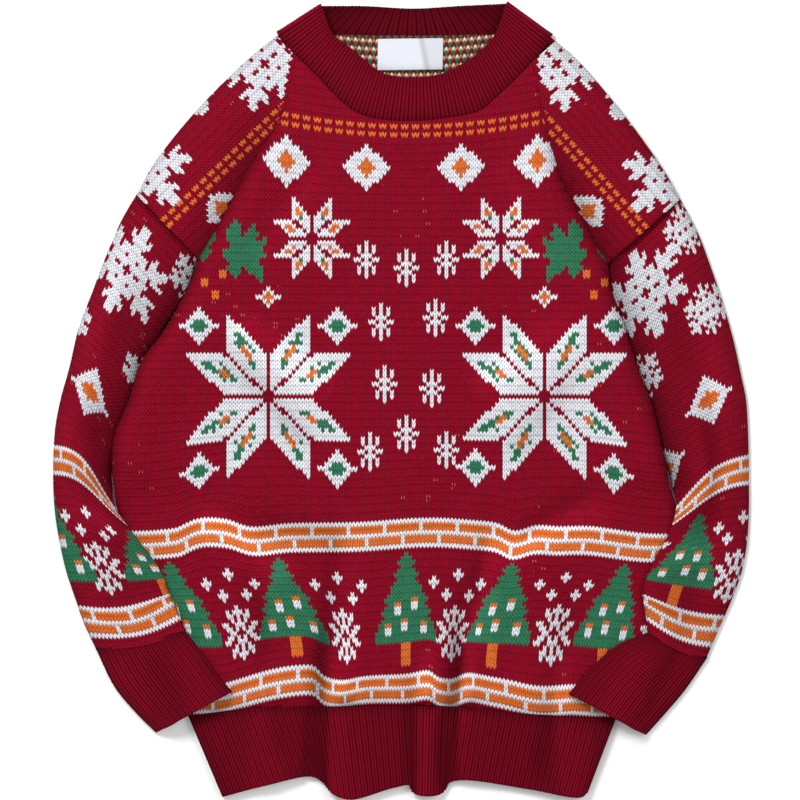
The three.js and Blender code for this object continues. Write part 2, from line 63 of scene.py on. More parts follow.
# 0 below low, 1 above high, eased between them as 3t^2 - 2t^3
def ease(low, high, value):
    t = np.clip((value - low) / (high - low), 0, 1)
    return t * t * (3 - 2 * t)


# 0 at an edge, 1 at the radius from it, along a parabola: almost straight beside the edge
def roundEdge(distance, radius):
    t = 1 - np.clip(distance / radius, 0, 1)
    return 1 - t * t


# smooth line through rows of any columns: cubic Hermite spans whose knots are
# spaced by the square root of the distance in the first two columns
def smoothLine(rows, perSpan=14):
    p = np.array(rows, float)
    steps = np.sqrt(np.linalg.norm(np.diff(p[:, :2], axis=0), axis=1))
    k = np.concatenate([[0], np.cumsum(steps)])
    slope = np.gradient(p, k, axis=0)
    s = np.linspace(0, k[-1], perSpan * (len(p) - 1) + 1)
    at = np.clip(np.searchsorted(k, s, "right") - 1, 0, len(p) - 2)
    h = (k[at + 1] - k[at])[:, None]
    u = ((s - k[at]) / h[:, 0])[:, None]
    return ((2 * u**3 - 3 * u**2 + 1) * p[at] + (u**3 - 2 * u**2 + u) * h * slope[at]
            + (3 * u**2 - 2 * u**3) * p[at + 1] + (u**3 - u**2) * h * slope[at + 1])


# running length of a line at each of its points
def lengthsAlong(line):
    return np.concatenate([[0], np.cumsum(np.linalg.norm(np.diff(line[:, :2], axis=0), axis=1))])


# point of a line at a share of its length
def pointAt(line, share):
    lengths = lengthsAlong(line)
    return np.stack([np.interp(np.asarray(share) * lengths[-1], lengths, column) for column in line.T], -1)


# least distance from each point to a line, taken to its close samples
def distanceTo(line, x, y):
    lengths = lengthsAlong(line)
    dense = pointAt(line, np.linspace(0, 1, int(lengths[-1] / 1.5)))
    flat = np.stack([np.ravel(x), np.ravel(y)], -1)
    nearest = [np.sqrt(((part[:, None, :] - dense[None, :, :2])**2).sum(-1).min(1))
               for part in np.array_split(flat, max(1, len(flat) // 4000))]
    return np.concatenate(nearest).reshape(np.shape(x))


# least distance to either of two lines
def distanceToPair(lines, x, y):
    return np.minimum(distanceTo(lines[0], x, y), distanceTo(lines[1], x, y))


# outlines in millimetres: x to the right, y towards the neck
leftSide = [(-191, -281), (-206, -258), (-223, -214), (-239, -165), (-248, -116), (-255, -83), (-257, -49),
            (-253, -26), (-242, 0), (-231, 34), (-208, 66), (-188, 104), (-180, 125)]
rightSide = [(193, -283), (207, -258), (227, -214), (241, -165), (248, -116), (239, -75), (232, -41),
             (222, 0), (214, 20), (206, 43), (197, 72), (188, 95), (184, 121)]
leftCrease = [(-180, 125), (-157, 166), (-133, 211), (-104, 257), (-93, 306)]
rightCrease = [(184, 121), (163, 158), (143, 197), (126, 254), (117, 301)]
leftShoulder = [(-235, 182), (-221, 208), (-184, 255), (-137, 302), (-109, 325)]
rightShoulder = [(248, 178), (235, 202), (198, 254), (156, 303), (133, 323)]
frontNeckSeam = [(-109, 325), (-93, 306), (-71, 284), (-56, 268), (-39, 255), (-15, 249), (11, 248),
                 (36, 250), (70, 257), (87, 271), (117, 301), (133, 323)]
backNeckSeam = [(-109, 325), (-72, 325), (11, 324), (88, 325), (133, 323)]
frontNeckEdge = [(-70, 350), (-60, 325), (-45, 313), (-32, 302), (-19, 292), (-6, 288), (15, 287), (36, 290),
                 (53, 298), (70, 310), (84, 326), (93, 352)]
backNeckEdge = [(-70, 350), (-32, 350), (12, 348), (49, 350), (93, 352)]
hemSeam = [(-191, -281), (-134, -274), (-81, -273), (4, -271), (53, -273), (115, -279), (193, -283)]
hemEdge = [(-159, -353), (-121, -343), (-79, -335), (-68, -341), (-61, -350), (-44, -355), (-7, -345),
           (8, -343), (12, -350), (24, -352), (36, -350), (42, -341), (56, -338), (113, -346),
           (161, -353), (167, -347)]

sideLines = [smoothLine(leftSide), smoothLine(rightSide)]
creaseLines = [smoothLine(leftCrease), smoothLine(rightCrease)]
slopeLines = [smoothLine(leftShoulder), smoothLine(rightShoulder)]
chestLines = [np.concatenate([side, crease[1:]]) for side, crease in zip(sideLines, creaseLines)]
neckLine = smoothLine(frontNeckSeam)
backNeckLine = smoothLine(backNeckSeam)
hemLine = smoothLine(hemSeam)


# x of a line that rises steadily in y, or y of a line that runs steadily in x
def xAt(line, y):
    return np.interp(y, line[:, 1], line[:, 0])


def yAt(line, x):
    return np.interp(x, line[:, 0], line[:, 1])


# folds of the front: start x and y, end x and y, then width and height of a ridge, or of a trough
# if negative
frontFolds = [
    (-74, -190, -72, -340, 9, -1.4), (-52, -215, -48, -352, 11, 2.6), (8, -235, 9, -345, 7, -1.4),
    (25, -215, 25, -352, 9, 3.2), (50, -150, 45, -342, 8, -2.0), (63, -160, 58, -290, 10, 2.2),
    (140, -215, 158, -350, 12, 1.8), (-118, -215, -120, -340, 15, 1.2), (-60, -100, -80, -345, 8, -1.3),
    (-36, -120, -56, -340, 10, 1.0), (76, -95, 34, -335, 8, -1.7), (94, -100, 50, -325, 9, 1.3),
    (-138, -120, -112, -300, 11, -0.9), (150, -150, 126, -320, 10, -1.0), (-185, -100, -108, -158, 13, 2.8),
    (-150, -98, -60, -122, 12, -1.0), (195, -95, 90, -150, 15, 2.4), (180, -70, 110, -112, 10, -0.9),
    (-170, 80, -70, 15, 14, 1.7), (-160, 50, -90, -30, 12, -0.9), (170, 82, 80, 12, 15, 1.8),
    (165, 40, 105, -40, 12, -0.8), (-60, 225, -120, 130, 12, 1.1), (85, 225, 130, 130, 12, 1.1),
]


# sum of Gaussian ridges, each fading in over the first part of its length and out past its end
def foldHeight(folds, x, y):
    total = np.zeros(np.shape(x))
    for startX, startY, endX, endY, width, height in folds:
        dx, dy = endX - startX, endY - startY
        length = np.hypot(dx, dy)
        along = ((x - startX) * dx + (y - startY) * dy) / length
        across = ((x - startX) * dy - (y - startY) * dx) / length
        fade = ease(-0.1 * length, 0.45 * length, along) * (1 - ease(length, 1.2 * length, along))
        total += height * fade * np.exp(-(across / width)**2)
    return total


# slow unevenness of hand-laid cloth: four crossed sine waves
def wander(x, y):
    return 0.25 * (np.sin(0.031 * x + 0.017 * y + 1) + np.sin(0.023 * y - 0.029 * x + 2.2)
                   + np.sin(0.071 * x + 0.043 * y) * 0.6 + np.sin(0.057 * y - 0.083 * x + 0.7) * 0.6)


# how far a point lies inside the body's side
def insideBody(x, y):
    return np.where(x < 0, x - xAt(sideLines[0], y), xAt(sideLines[1], y) - x)


# the body's sides curl up from the surface between the hem's end and the armhole
def backLift(distance, y):
    height = knit["sideCurl"] * ease(-108, -45, y) * (1 - ease(45, 115, y))
    return height * (1 - ease(10, 58, distance))


# what a forearm lies on: the floor, then the body's side
def forearmRest(x, y):
    overBody = 2 * knit["wall"] + knit["layerGap"] + 1.1
    return overBody * (1 - ease(-98, -72, y)) * ease(-26, -8, insideBody(x, y))


chestForm = {"roll": 10.5, "puff": 8.5, "aboveHem": 3.4, "neckRise": 2.2, "radius": 17, "foldScale": 2.7}


# top of the front: two walls and the air between them, a roll beside the crease, a puff
# down the sides, a swell over the hem, and the folds
def frontTop(x, y):
    edge = distanceToPair(chestLines, x, y)
    neck = distanceTo(neckLine, x, y)
    over = ease(60, 140, y)
    puff = (chestForm["puff"] * ease(-98, -50, y) * (1 - over) + chestForm["roll"] * over) * ease(8, 92, neck)
    reach = 86 - 40 * over
    puff = puff * roundEdge(edge, chestForm["radius"]) * (1 - 0.85 * ease(0, 1, (edge - 14) / reach))
    middle = ease(20, 70, edge)
    seam = distanceTo(hemLine, x, y)
    hem = chestForm["aboveHem"] * ease(0, 16, seam) * (1 - ease(16, 75, seam)) * middle
    folds = chestForm["foldScale"] * foldHeight(frontFolds, x, y) * middle * ease(-4, 12, seam)
    rise = chestForm["neckRise"] * (1 - ease(0, 45, neck))
    air = knit["layerGap"] + puff + rise + np.maximum(hem + folds, -0.2) + 1.6 * wander(x, y) * middle
    seamDrop = knit["seamDrop"] * (1 - roundEdge(edge, 8)) * (1 - over)
    atEdge = knit["seamGap"]
    rounded = np.maximum(roundEdge(edge, 6), over)
    return 2 * knit["wall"] + atEdge - seamDrop + (air - atEdge) * rounded + backLift(edge, y)


# painted shade beside an edge: how dark the hollow there is, 1 far from it
def hollow(distance, depth, reach):
    return 1 - depth * np.exp(-(distance / reach)**1.5)


print("pattern charts")

smallFlake = """
...#...
.#.#.#.
.#.#.#.
..###..
##.#.##
..###..
.#.#.#.
.#.#.#.
...#..."""
mediumFlake = """
.....#.....
..#.###.#..
..##.#.##..
...#.#.#...
##..###..##
.##.#.#.##.
..##...##..
.##.#.#.##.
##..###..##
...#.#.#...
..##.#.##..
..#.###.#..
.....#....."""
cross = """
.#.
###
.#."""
hollyLeaf = """
........#...
...#...###..
...##..####.
..####.####.
#..########.
##########..
.#########..
.###########
############
..#########.
..########..
.#####.####.
.####..###..
.##.....#...
.#.........."""
berry = """
##
##"""


# a chart's marks as true and false
def readChart(text):
    return np.array([[mark == "#" for mark in row] for row in text.strip().split("\n")])


# lay a small chart on the pattern with its centre at column i, row j
def layChart(pattern, i, j, chart, centreI, centreJ, colour, mirrored=False):
    rows, columns = chart.shape
    marks = chart[:, ::-1] if mirrored else chart
    column = i - (centreI - columns // 2)
    row = (centreJ + rows // 2) - j
    inside = (column >= 0) & (column < columns) & (row >= 0) & (row < rows)
    hit = np.zeros(pattern.shape, bool)
    hit[inside] = marks[row[inside], column[inside]]
    pattern[hit] = colour


# six-armed snowflake: the angle is folded into one arm; the arm is a bar, with barbs
# that leave it at 60 degrees at set shares of the radius
def laySnowflake(pattern, i, j, centreI, centreJ, radius):
    x = i - centreI
    y = (j - centreJ) * knit["stitchHeight"] / knit["stitchWidth"]
    distance = np.hypot(x, y)
    angle = np.arctan2(y, x) + np.pi / 2
    folded = np.abs((angle + np.pi / 6) % (np.pi / 3) - np.pi / 6)
    along, across = distance * np.cos(folded), distance * np.sin(folded)
    flake = (across < 0.07 * radius + 0.4) & (along < radius) & (distance > 0.1 * radius)
    for start in (0.30, 0.60):
        slant = np.abs(across * 0.5 - (along - start * radius) * 0.866)
        flake |= (slant < 0.05 * radius + 0.28) & (across < 0.30 * radius) & (along > start * radius - 1)
    pattern[flake] = white


# eight-petalled star: each petal is a parallelogram, here with a seed band in it
def layStar(pattern, i, j, centreI, centreJ, radius, seed):
    x = np.abs(i - centreI)
    y = np.abs(j - centreJ) * knit["stitchHeight"] / knit["stitchWidth"]
    high, low = np.maximum(x, y), np.minimum(x, y)
    lean = high - low
    half = radius / 2
    petal = (low > 0.6) & (low <= half) & (lean > 0.6) & (lean <= half)
    pattern[petal] = white
    inner = (low > 0.22 * half + 1) & (low < 0.8 * half) & (lean > 0.22 * half + 1) & (lean < 0.8 * half)
    ring = inner & (((i + j) % 3 == 0) | (np.abs(low - lean) < 1.3))
    pattern[ring] = seed
    core = inner & (low > 0.42 * half) & (low < 0.62 * half) & (lean > 0.42 * half) & (lean < 0.62 * half)
    pattern[core] = orange if seed == green else green


# diamond of a given half width, with a coloured core
def layDiamond(pattern, i, j, centreI, centreJ, radius, core):
    spread = np.abs(i - centreI) + np.abs(j - centreJ) * 1.14
    pattern[(spread <= radius) & (spread > 0.45 * radius)] = white
    pattern[spread <= 0.45 * radius] = core


# bricks in running bond: rows of mortar, two courses each two rows high, joints ten stitches apart
def layBricks(pattern, i, j, lowRow):
    row = j - lowRow
    band = (row >= 0) & (row <= 6)
    joint = (i + 5 * (row > 3)) % 10 == 0
    pattern[band] = orange
    pattern[band & ((row % 3 == 0) | joint)] = white


# fir tree: the half width grows with the row and has small teeth; baubles with orange caps hang
# in rows, and the trunk is three stitches wide
def layTree(pattern, i, j, centreI, tipRow):
    row = tipRow - j
    across = i - centreI
    halfWidth = 0.4 + 0.43 * row + 0.45 * (row % 3)
    pattern[(row >= 0) & (row < 22) & (np.abs(across) <= halfWidth)] = green
    pattern[(row >= 22) & (row < 28) & (np.abs(across) <= 1)] = orange
    for besideI, down in ((-3, 13), (2, 12), (-6, 18), (-1, 17), (5, 18)):
        beside = (across - besideI == 0) | (across - besideI == 1)
        pattern[beside & (row == down - 1)] = orange
        pattern[beside & ((row == down) | (row == down + 1))] = white


# crosses over each medium snowflake: two rows, three and two
def layFlakeAndCrosses(pattern, i, j, centreI, centreJ):
    layChart(pattern, i, j, readChart(mediumFlake), centreI, centreJ, white)
    for besideI, up in ((-7, 12), (0, 14), (7, 12), (-3, 9), (4, 9)):
        layChart(pattern, i, j, readChart(cross), centreI + besideI, centreJ + up, white)


frieze = {"upperBand": -36, "lowerBand": -74, "treeTip": -38, "flakeRow": -57,
          "trees": (-66, -35, 1, 31, 63), "flakes": (-50, -19, 16, 47, 79)}
littleFlakes = [(-10, 33), (1, 31), (12, 33), (-6, 18), (9, 19), (-5, 3), (8, 2),
                (-9, -13), (1, -9), (12, -13)]
chestDiamonds = [(-32, 55), (-10, 55), (16, 55), (37, 55)]


# two rows of dots, each of two stitches in three
def layNeckDots(pattern, i, j, lowRow):
    pattern[(i % 3 < 2) & ((j == lowRow) | (j == lowRow + 2))] = orange


# whole pattern of the front or the back, from the columns and rows of its stitches
def bodyPattern(i, j):
    pattern = np.zeros(i.shape, int)
    layNeckDots(pattern, i, j, 63)
    for centreI, centreJ in littleFlakes:
        layChart(pattern, i, j, readChart(smallFlake), centreI, centreJ, white)
    for centreI, centreJ in chestDiamonds:
        layDiamond(pattern, i, j, centreI, centreJ, 6.5, orange)
    for side in (-1, 1):
        centre = 1 + 38 * side
        layStar(pattern, i, j, centre, 0, 23, green)
        layStar(pattern, i, j, 1 + 26 * side, 38, 11, orange)
        for besideI, up in ((-19, 17), (19, 17), (-19, -17), (19, -17)):
            layDiamond(pattern, i, j, centre + besideI, up, 5, green)
        layDiamond(pattern, i, j, centre, 24, 3, orange)
        layChart(pattern, i, j, readChart(hollyLeaf), 1 + 44 * side, 35, green, side < 0)
        layChart(pattern, i, j, readChart(hollyLeaf), 1 + 58 * side, 39, green, side > 0)
        for besideI, up in ((50, 29), (55, 27), (52, 24)):
            layChart(pattern, i, j, readChart(berry), 1 + besideI * side, up, orange)
    layBricks(pattern, i, j, frieze["upperBand"])
    layBricks(pattern, i, j, frieze["lowerBand"])
    for centreI in frieze["flakes"]:
        layFlakeAndCrosses(pattern, i, j, centreI, frieze["flakeRow"])
    for centreI in frieze["trees"]:
        layTree(pattern, i, j, centreI, frieze["treeTip"])
    return pattern


# shoulder: columns run from the dropped seam to the neck, rows up to the slope
def shoulderPattern(i, j):
    pattern = np.zeros(i.shape, int)
    layNeckDots(pattern, i, j, 10)
    laySnowflake(pattern, i, j, 6, 24, 13)
    laySnowflake(pattern, i, j, 50, 22, 13)
    laySnowflake(pattern, i, j, 29, 31, 9)
    layDiamond(pattern, i, j, 14, 4, 5.5, orange)
    return pattern


sleeveFrieze = {"upperBand": 66, "lowerBand": 104, "treeTip": -76, "flakeRow": -94}


# sleeve: columns across it from its middle, rows down from the dropped seam; places set by
# where the tree, the snowflakes and the diamond show
def sleevePattern(places):
    def pattern(i, j):
        row = -j
        marks = np.zeros(i.shape, int)
        for centreI, down, radius in places["flakes"]:
            laySnowflake(marks, i, j, centreI, -down, radius)
        for centreI, down in places["diamonds"]:
            layDiamond(marks, i, j, centreI, -down, 7, orange)
        layBricks(marks, i, row, sleeveFrieze["upperBand"])
        layBricks(marks, i, row, sleeveFrieze["lowerBand"])
        for centreI in places["friezeFlakes"]:
            layFlakeAndCrosses(marks, i, j, centreI, sleeveFrieze["flakeRow"])
        for centreI in places["trees"]:
            layTree(marks, i, j, centreI, sleeveFrieze["treeTip"])
        return marks
    return pattern


print("mesh builders")


# cells of a grid with all four corners past a line
def wholly(past):
    return past[:-1, :-1] & past[:-1, 1:] & past[1:, :-1] & past[1:, 1:]


# a mesh from a grid of points in millimetres: corners that fell together are welded, faces that
# have shrunk to a line are left out, and each face keeps its stitches' place and yarn
def meshFromGrids(name, grids):
    points, faces, places, yarns, belows, shades = [], [], [], [], [], []
    count = 0
    for grid in grids:
        x, y, z, u, v, shade = np.broadcast_arrays(*(grid[key] for key in ("x", "y", "z", "u", "v", "shade")))
        rows, columns = x.shape
        index = count + np.arange(rows * columns).reshape(rows, columns)
        corners = np.stack([index[:-1, :-1], index[:-1, 1:], index[1:, 1:], index[1:, :-1]], -1)
        corners = corners.reshape(-1, 4)
        uv = np.stack([u, v], -1).reshape(-1, 2)
        if not grid.get("standing"):    # faces folded over in plan are left out too
            px, py = (np.round(axis, 2).ravel()[corners - count].T for axis in (x, y))
            spread = (px[2] - px[0]) * (py[3] - py[1]) - (px[3] - px[1]) * (py[2] - py[0])
            folded = spread * np.sign(spread.sum()) <= 0
            corners[folded] = corners[folded][:, :1]
        if "lost" in grid:
            corners[grid["lost"].ravel()] = corners[grid["lost"].ravel()][:, :1]
        points.append(np.stack([x, y, z], -1).reshape(-1, 3))
        faces.append(corners[:, ::-1] if grid.get("mirrored") else corners)
        places.append(uv[faces[-1] - count])
        shades.append(shade.ravel())
        for key, kept in (("yarn", yarns), ("below", belows)):
            kept.append(np.broadcast_to(grid[key], (rows - 1, columns - 1)).ravel())
        count += rows * columns
    points, faces, places, yarn, below, shade = (
        np.concatenate(parts) for parts in (points, faces, places, yarns, belows, shades))
    key = np.round(points * 50).astype(np.int64)
    _, first, same = np.unique(key, axis=0, return_index=True, return_inverse=True)
    faces = same.reshape(-1)[faces]
    points, shade = points[first] * mm, shade[first]
    doubled = faces == np.roll(faces, -1, axis=1)
    crossed = (faces[:, 0] == faces[:, 2]) | (faces[:, 1] == faces[:, 3])
    keep = (doubled.sum(1) <= 1) & ~crossed
    faces, doubled, places, yarn, below = faces[keep], doubled[keep], places[keep], yarn[keep], below[keep]
    used, renumbered = np.unique(faces, return_inverse=True)
    faces, points, shade = renumbered.reshape(faces.shape), points[used], shade[used]
    sizes = 4 - doubled.sum(1)
    mesh = bpy.data.meshes.new(name)
    mesh.vertices.add(len(points))
    mesh.vertices.foreach_set("co", points.astype(np.float32).ravel())
    mesh.loops.add(int(sizes.sum()))
    mesh.loops.foreach_set("vertex_index", faces[~doubled].astype(np.int32))
    mesh.polygons.add(len(faces))
    starts = np.concatenate([[0], np.cumsum(sizes)[:-1]])
    mesh.polygons.foreach_set("loop_start", starts.astype(np.int32))
    mesh.update(calc_edges=True)
    layer = mesh.uv_layers.new(name="stitches")
    layer.uv.foreach_set("vector", places[~doubled].astype(np.float32).ravel())
    for label, values in (("yarn", yarn), ("yarnBelow", below)):
        colours = np.concatenate([yarnColours[values], np.ones((len(values), 1))], 1)
        attribute = mesh.attributes.new(label, "FLOAT_COLOR", "FACE")
        attribute.data.foreach_set("color", colours.astype(np.float32).ravel())
    mesh.attributes.new("shade", "FLOAT", "POINT").data.foreach_set("value", shade.astype(np.float32))
    mesh.polygons.foreach_set("use_smooth", np.ones(len(faces), bool))
    mesh.validate()
    piece = bpy.data.objects.new(name, mesh)
    bpy.context.collection.objects.link(piece)
    return piece


# sheet of a given thickness; its new side and its rim can take another of its materials
def makeCloth(name, grids, materials, thickness=knit["thickness"], offset=-1, otherMaterial=0):
    piece = meshFromGrids(name, grids)
    for material in materials:
        piece.data.materials.append(material)
    wall = piece.modifiers.new("wall", "SOLIDIFY")
    wall.thickness = thickness * mm
    wall.offset = offset
    wall.material_offset = otherMaterial
    wall.material_offset_rim = otherMaterial
    bpy.context.view_layer.objects.active = piece
    bpy.ops.object.modifier_apply(modifier="wall")
    return piece


# rises of the two brick bands where the pleats pull them, as (x, rise)
upperBandRises = [(-200, 0), (-180, 5), (-156, 0), (-134, -9), (-97, -5), (-56, -1), (0, 0), (60, -1),
                  (85, -3), (101, -10), (120, -6), (142, -8), (175, -5), (230, 0)]
lowerBandRises = [(-175, 0), (-151, 3), (-104, 9), (-98, 8), (-89, 0), (-72, -3), (-36, 0), (7, 0),
                  (29, 3), (38, -2), (53, -3), (76, 5), (109, 3), (142, -3), (175, 0)]
bandLines = [smoothLine(upperBandRises), smoothLine(lowerBandRises)]


# how far the courses rise from a straight line: up beside the neck, down at the chest's sides,
# with the pleats at the brick bands, and along the seam over the hem
def courseBend(x, y):
    neck = 11 * ((x - 8) / 110)**2 * ease(150, 250, y)
    sides = -11 * ease(140, 245, np.abs(x)) * ease(-190, -120, y) * (1 - ease(-60, 20, y))
    waves = 1.6 * np.sin(0.045 * x + 0.6) + 1.1 * np.sin(0.026 * x - 1)
    waves = waves * ease(0, -90, y) * ease(-268, -225, y)
    waves += yAt(bandLines[0], x) * ease(-55, -105, y) * (1 - ease(-125, -185, y))
    waves += yAt(bandLines[1], x) * ease(-195, -240, y)
    return neck + sides + waves + (yAt(hemLine, x) + 274) * ease(-190, -262, y)


# the hem gathers the body: share of a column's distance from the middle that is left at a height
def gather(y):
    return 1 - 0.13 * ease(-110, -235, y)


# the pleats pull the feet of the outer trees towards the middle: shift of a column, as a
# Gaussian of its distance from the middle
def footPull(x, y):
    return -9 * np.sign(x) * np.exp(-((np.abs(x - 4) - 92) / 33)**2) * ease(-135, -240, y)


bodyStitches = {"columns": np.arange(-81, 82), "rows": np.arange(-80, 92)}


# grid of stitches cut to an outline: column i and row j meet at i times the stitch width and j
# times its height plus the course's bend, and what lies outside is pulled in to the edge
def cutGrid(leftLine, rightLine, low, high, top, shade, pattern):
    i, j = np.meshgrid(bodyStitches["columns"], bodyStitches["rows"])
    x, y = i * knit["stitchWidth"], j * knit["stitchHeight"]
    y = y + courseBend(x, y)
    x = x * gather(y) + footPull(x, y)
    cutX = np.clip(x, xAt(leftLine, y), xAt(rightLine, y))
    cutY = np.clip(y, low(cutX), high(cutX))
    lost = (wholly(x < xAt(leftLine, y)) | wholly(x > xAt(rightLine, y))
            | wholly(y < low(cutX)) | wholly(y > high(cutX)))
    cutX = np.clip(cutX, xAt(leftLine, cutY), xAt(rightLine, cutY))
    return {"x": cutX, "y": cutY, "z": top(cutX, cutY), "u": i + (cutX - x) / knit["stitchWidth"] / gather(y),
            "v": j + (cutY - y) / knit["stitchHeight"], "shade": shade(cutX, cutY), "lost": lost,
            "yarn": pattern(i[:-1, :-1], j[:-1, :-1]), "below": pattern(i[:-1, :-1], j[:-1, :-1] - 1)}


shoulderForm = {"puff": 5.5, "edge": 20, "tuck": 7, "lead": 2.5}


# shoulder end of the front: its columns and rows are turned to lie along the dropped seam, and
# each column runs from the crease up to the slope
def shoulderGrid(side):
    crease, slope = creaseLines[side], slopeLines[side]
    start, end = crease[0, :2], slope[0, :2]
    rowsWay = (end - start) / np.linalg.norm(end - start)
    columnsWay = np.array([rowsWay[1], -rowsWay[0]]) * (1 if side == 0 else -1)
    toLocal = lambda line: np.stack([(line[:, :2] - start) @ columnsWay, (line[:, :2] - start) @ rowsWay], -1)
    localCrease, localSlope = toLocal(crease), toLocal(slope)
    i, j = np.meshgrid(np.arange(0, 76), np.arange(-12, 34))
    along, up = i * knit["stitchWidth"], j * knit["stitchHeight"]
    cutAlong = np.clip(along, 0, min(localCrease[-1, 0], localSlope[-1, 0]))
    fold = np.interp(cutAlong, localCrease[:, 0], localCrease[:, 1])
    high = np.interp(cutAlong, localSlope[:, 0], localSlope[:, 1])
    tuck = shoulderForm["lead"] + shoulderForm["tuck"] * ease(12, 40, high - fold)
    cutUp = np.clip(up, fold - tuck, np.maximum(high, fold))
    x = start[0] + columnsWay[0] * cutAlong + rowsWay[0] * cutUp
    y = start[1] + columnsWay[1] * cutAlong + rowsWay[1] * cutUp
    fromSlope, fromCrease = distanceTo(slope, x, y), distanceTo(crease, x, y)
    neck = distanceTo(neckLine, x, y)
    under = fold - cutUp    # how far it reaches under the chest
    swell = roundEdge(fromSlope, shoulderForm["edge"]) * ease(3, 30, fromCrease) * ease(0, 60, neck)
    swell = swell * (under < 0)
    seam = roundEdge(fromSlope, 8)    # 0 at the shoulder seam
    z = (2 * knit["wall"] + knit["seamGap"] + (knit["layerGap"] - knit["seamGap"]) * seam
         - knit["seamDrop"] * (1 - seam) - 0.45 * ease(-4, 0, under) - 0.6 * np.clip(under - 2, 0, None)
         + shoulderForm["puff"] * swell + chestForm["neckRise"] * (1 - ease(0, 45, neck)) * seam
         + wander(x, y) * swell)
    z = np.maximum(z, knit["thickness"] + knit["wall"])    # the tucked part stays over the back
    # painted shade beside the crease and along the shoulder seam
    shade = hollow(fromCrease, 0.5 * ease(20, 110, neck), 16) * hollow(fromSlope, 0.25, 8)
    yarn, below = (shoulderPattern(i[:-1, :-1], j[:-1, :-1] - lower) for lower in (0, 1))
    tucked = (up - 5 * ease(70, 25, neck) < fold)[:-1, :-1]
    yarn[tucked], below[tucked] = red, red
    lost = wholly(up < fold - tuck) | wholly(up > np.maximum(high, fold)) | wholly(along > cutAlong)
    return {"x": x, "y": y, "z": z, "lost": lost, "u": i + (cutAlong - along) / knit["stitchWidth"],
            "v": j + (cutUp - up) / knit["stitchHeight"], "mirrored": side == 1, "shade": shade,
            "yarn": yarn, "below": below}


# front: the chest and both shoulder ends in one sheet; edges, hem seam and pleat troughs painted darker,
# ridges lighter
def makeFront():
    def shade(x, y):
        edge = distanceToPair(chestLines, x, y)
        folds = foldHeight(frontFolds, x, y) * ease(20, 70, edge)
        depth = 0.45 * ease(15, 100, distanceTo(neckLine, x, y))
        # painted shade in the pleats' troughs, painted light on their ridges
        pleats = 1 + 0.25 * np.clip(folds, -2.1, 1)
        return hollow(edge, depth, 5) * hollow(distanceTo(hemLine, x, y), 0.3, 4) * pleats

    chest = cutGrid(*chestLines, lambda x: yAt(hemLine, x), lambda x: yAt(neckLine, x), frontTop,
                    shade, bodyPattern)
    return makeCloth("front_cloth", [chest, shoulderGrid(0), shoulderGrid(1)], [jacquard])


backForm = {"thickness": 2.8, "openingMiddle": 10, "openingHalf": 94}


# back: its inner face is the grid, flat but for the curled sides, and its outer face lies under it
def makeBack():
    lines = [np.concatenate([side, slope]) for side, slope in zip(sideLines, slopeLines)]

    def inner(x, y):
        return backLift(distanceToPair(sideLines, x, y), y) + backForm["thickness"]

    grid = cutGrid(*lines, lambda x: yAt(hemLine, x), lambda x: yAt(backNeckLine, x), inner,
                   lambda x, y: np.ones_like(x), bodyPattern)
    piece = makeCloth("back_cloth", [grid], [floats, jacquard], backForm["thickness"], otherMaterial=1)
    # the floats show in the neck opening only
    faces = piece.data.polygons
    centres, slots = np.empty(len(faces) * 3), np.empty(len(faces), np.int32)
    faces.foreach_get("center", centres)
    faces.foreach_get("material_index", slots)
    slots[np.abs(centres[::3] - backForm["openingMiddle"] * mm) > backForm["openingHalf"] * mm] = 1
    faces.foreach_set("material_index", slots)
    return piece


# rows and columns of a flattened tube: over and under a middle level, each rises from the edges
# along a parabola, and the upper face has the crown, folds and ribs on top
def tubeGrids(side, x, y, fromEdge, extra, u, v, yarn, below, shade):
    half = knit["wall"] + knit["layerGap"] / 2
    rest = forearmRest(x, y)
    swell = roundEdge(fromEdge, 9)
    top = half + half * swell + np.maximum(extra, -0.4) * roundEdge(fromEdge, 24) + rest
    bottom = half - half * swell + rest
    grid = {"x": x, "y": y, "z": top, "u": u, "v": v, "shade": shade, "yarn": yarn, "below": below,
            "mirrored": side == "left"}
    return [grid, dict(grid, z=bottom, mirrored=side != "left")]


# rows down each sleeve: x and y of its outer edge, then of its inner edge
sleeveRows = {
    "left": [(-236, 181.5, -181, 124), (-248, 161, -194, 99), (-262, 129, -207, 77), (-275, 95, -222, 53),
             (-287, 63, -235, 31), (-295, 29, -243, 0), (-303, 0, -254, -27), (-308, -28, -258, -49),
             (-309.5, -67, -257, -76), (-308.5, -93, -253.5, -96), (-306, -114, -238, -118),
             (-298, -152, -214, -151), (-290, -176, -206, -171), (-282, -199, -197, -190),
             (-271, -222, -191, -205)],
    "right": [(249, 177.5, 185, 120), (263, 151, 190, 94), (276, 117, 198, 73), (287, 84, 207, 44),
              (296, 52, 215, 20), (303, 20, 223.5, 0), (307, 0, 229, -20), (309, -36, 234, -43),
              (309.5, -71, 240.5, -75), (309.5, -98, 244.5, -93), (308, -125, 239, -116),
              (303, -153, 222, -148), (294, -178, 215, -170), (284, -201, 217, -189), (271, -231, 219, -206)],
}
cuffRows = {
    "left": [(-271, -222.4, -191, -205.4), (-255, -255, -172, -230), (-237, -277, -160, -247),
             (-218, -296, -150, -259)],
    "right": [(271, -231.4, 219, -206.4), (252, -259, 190, -219), (235, -279, 166, -241),
              (218, -298, 149, -261)],
}
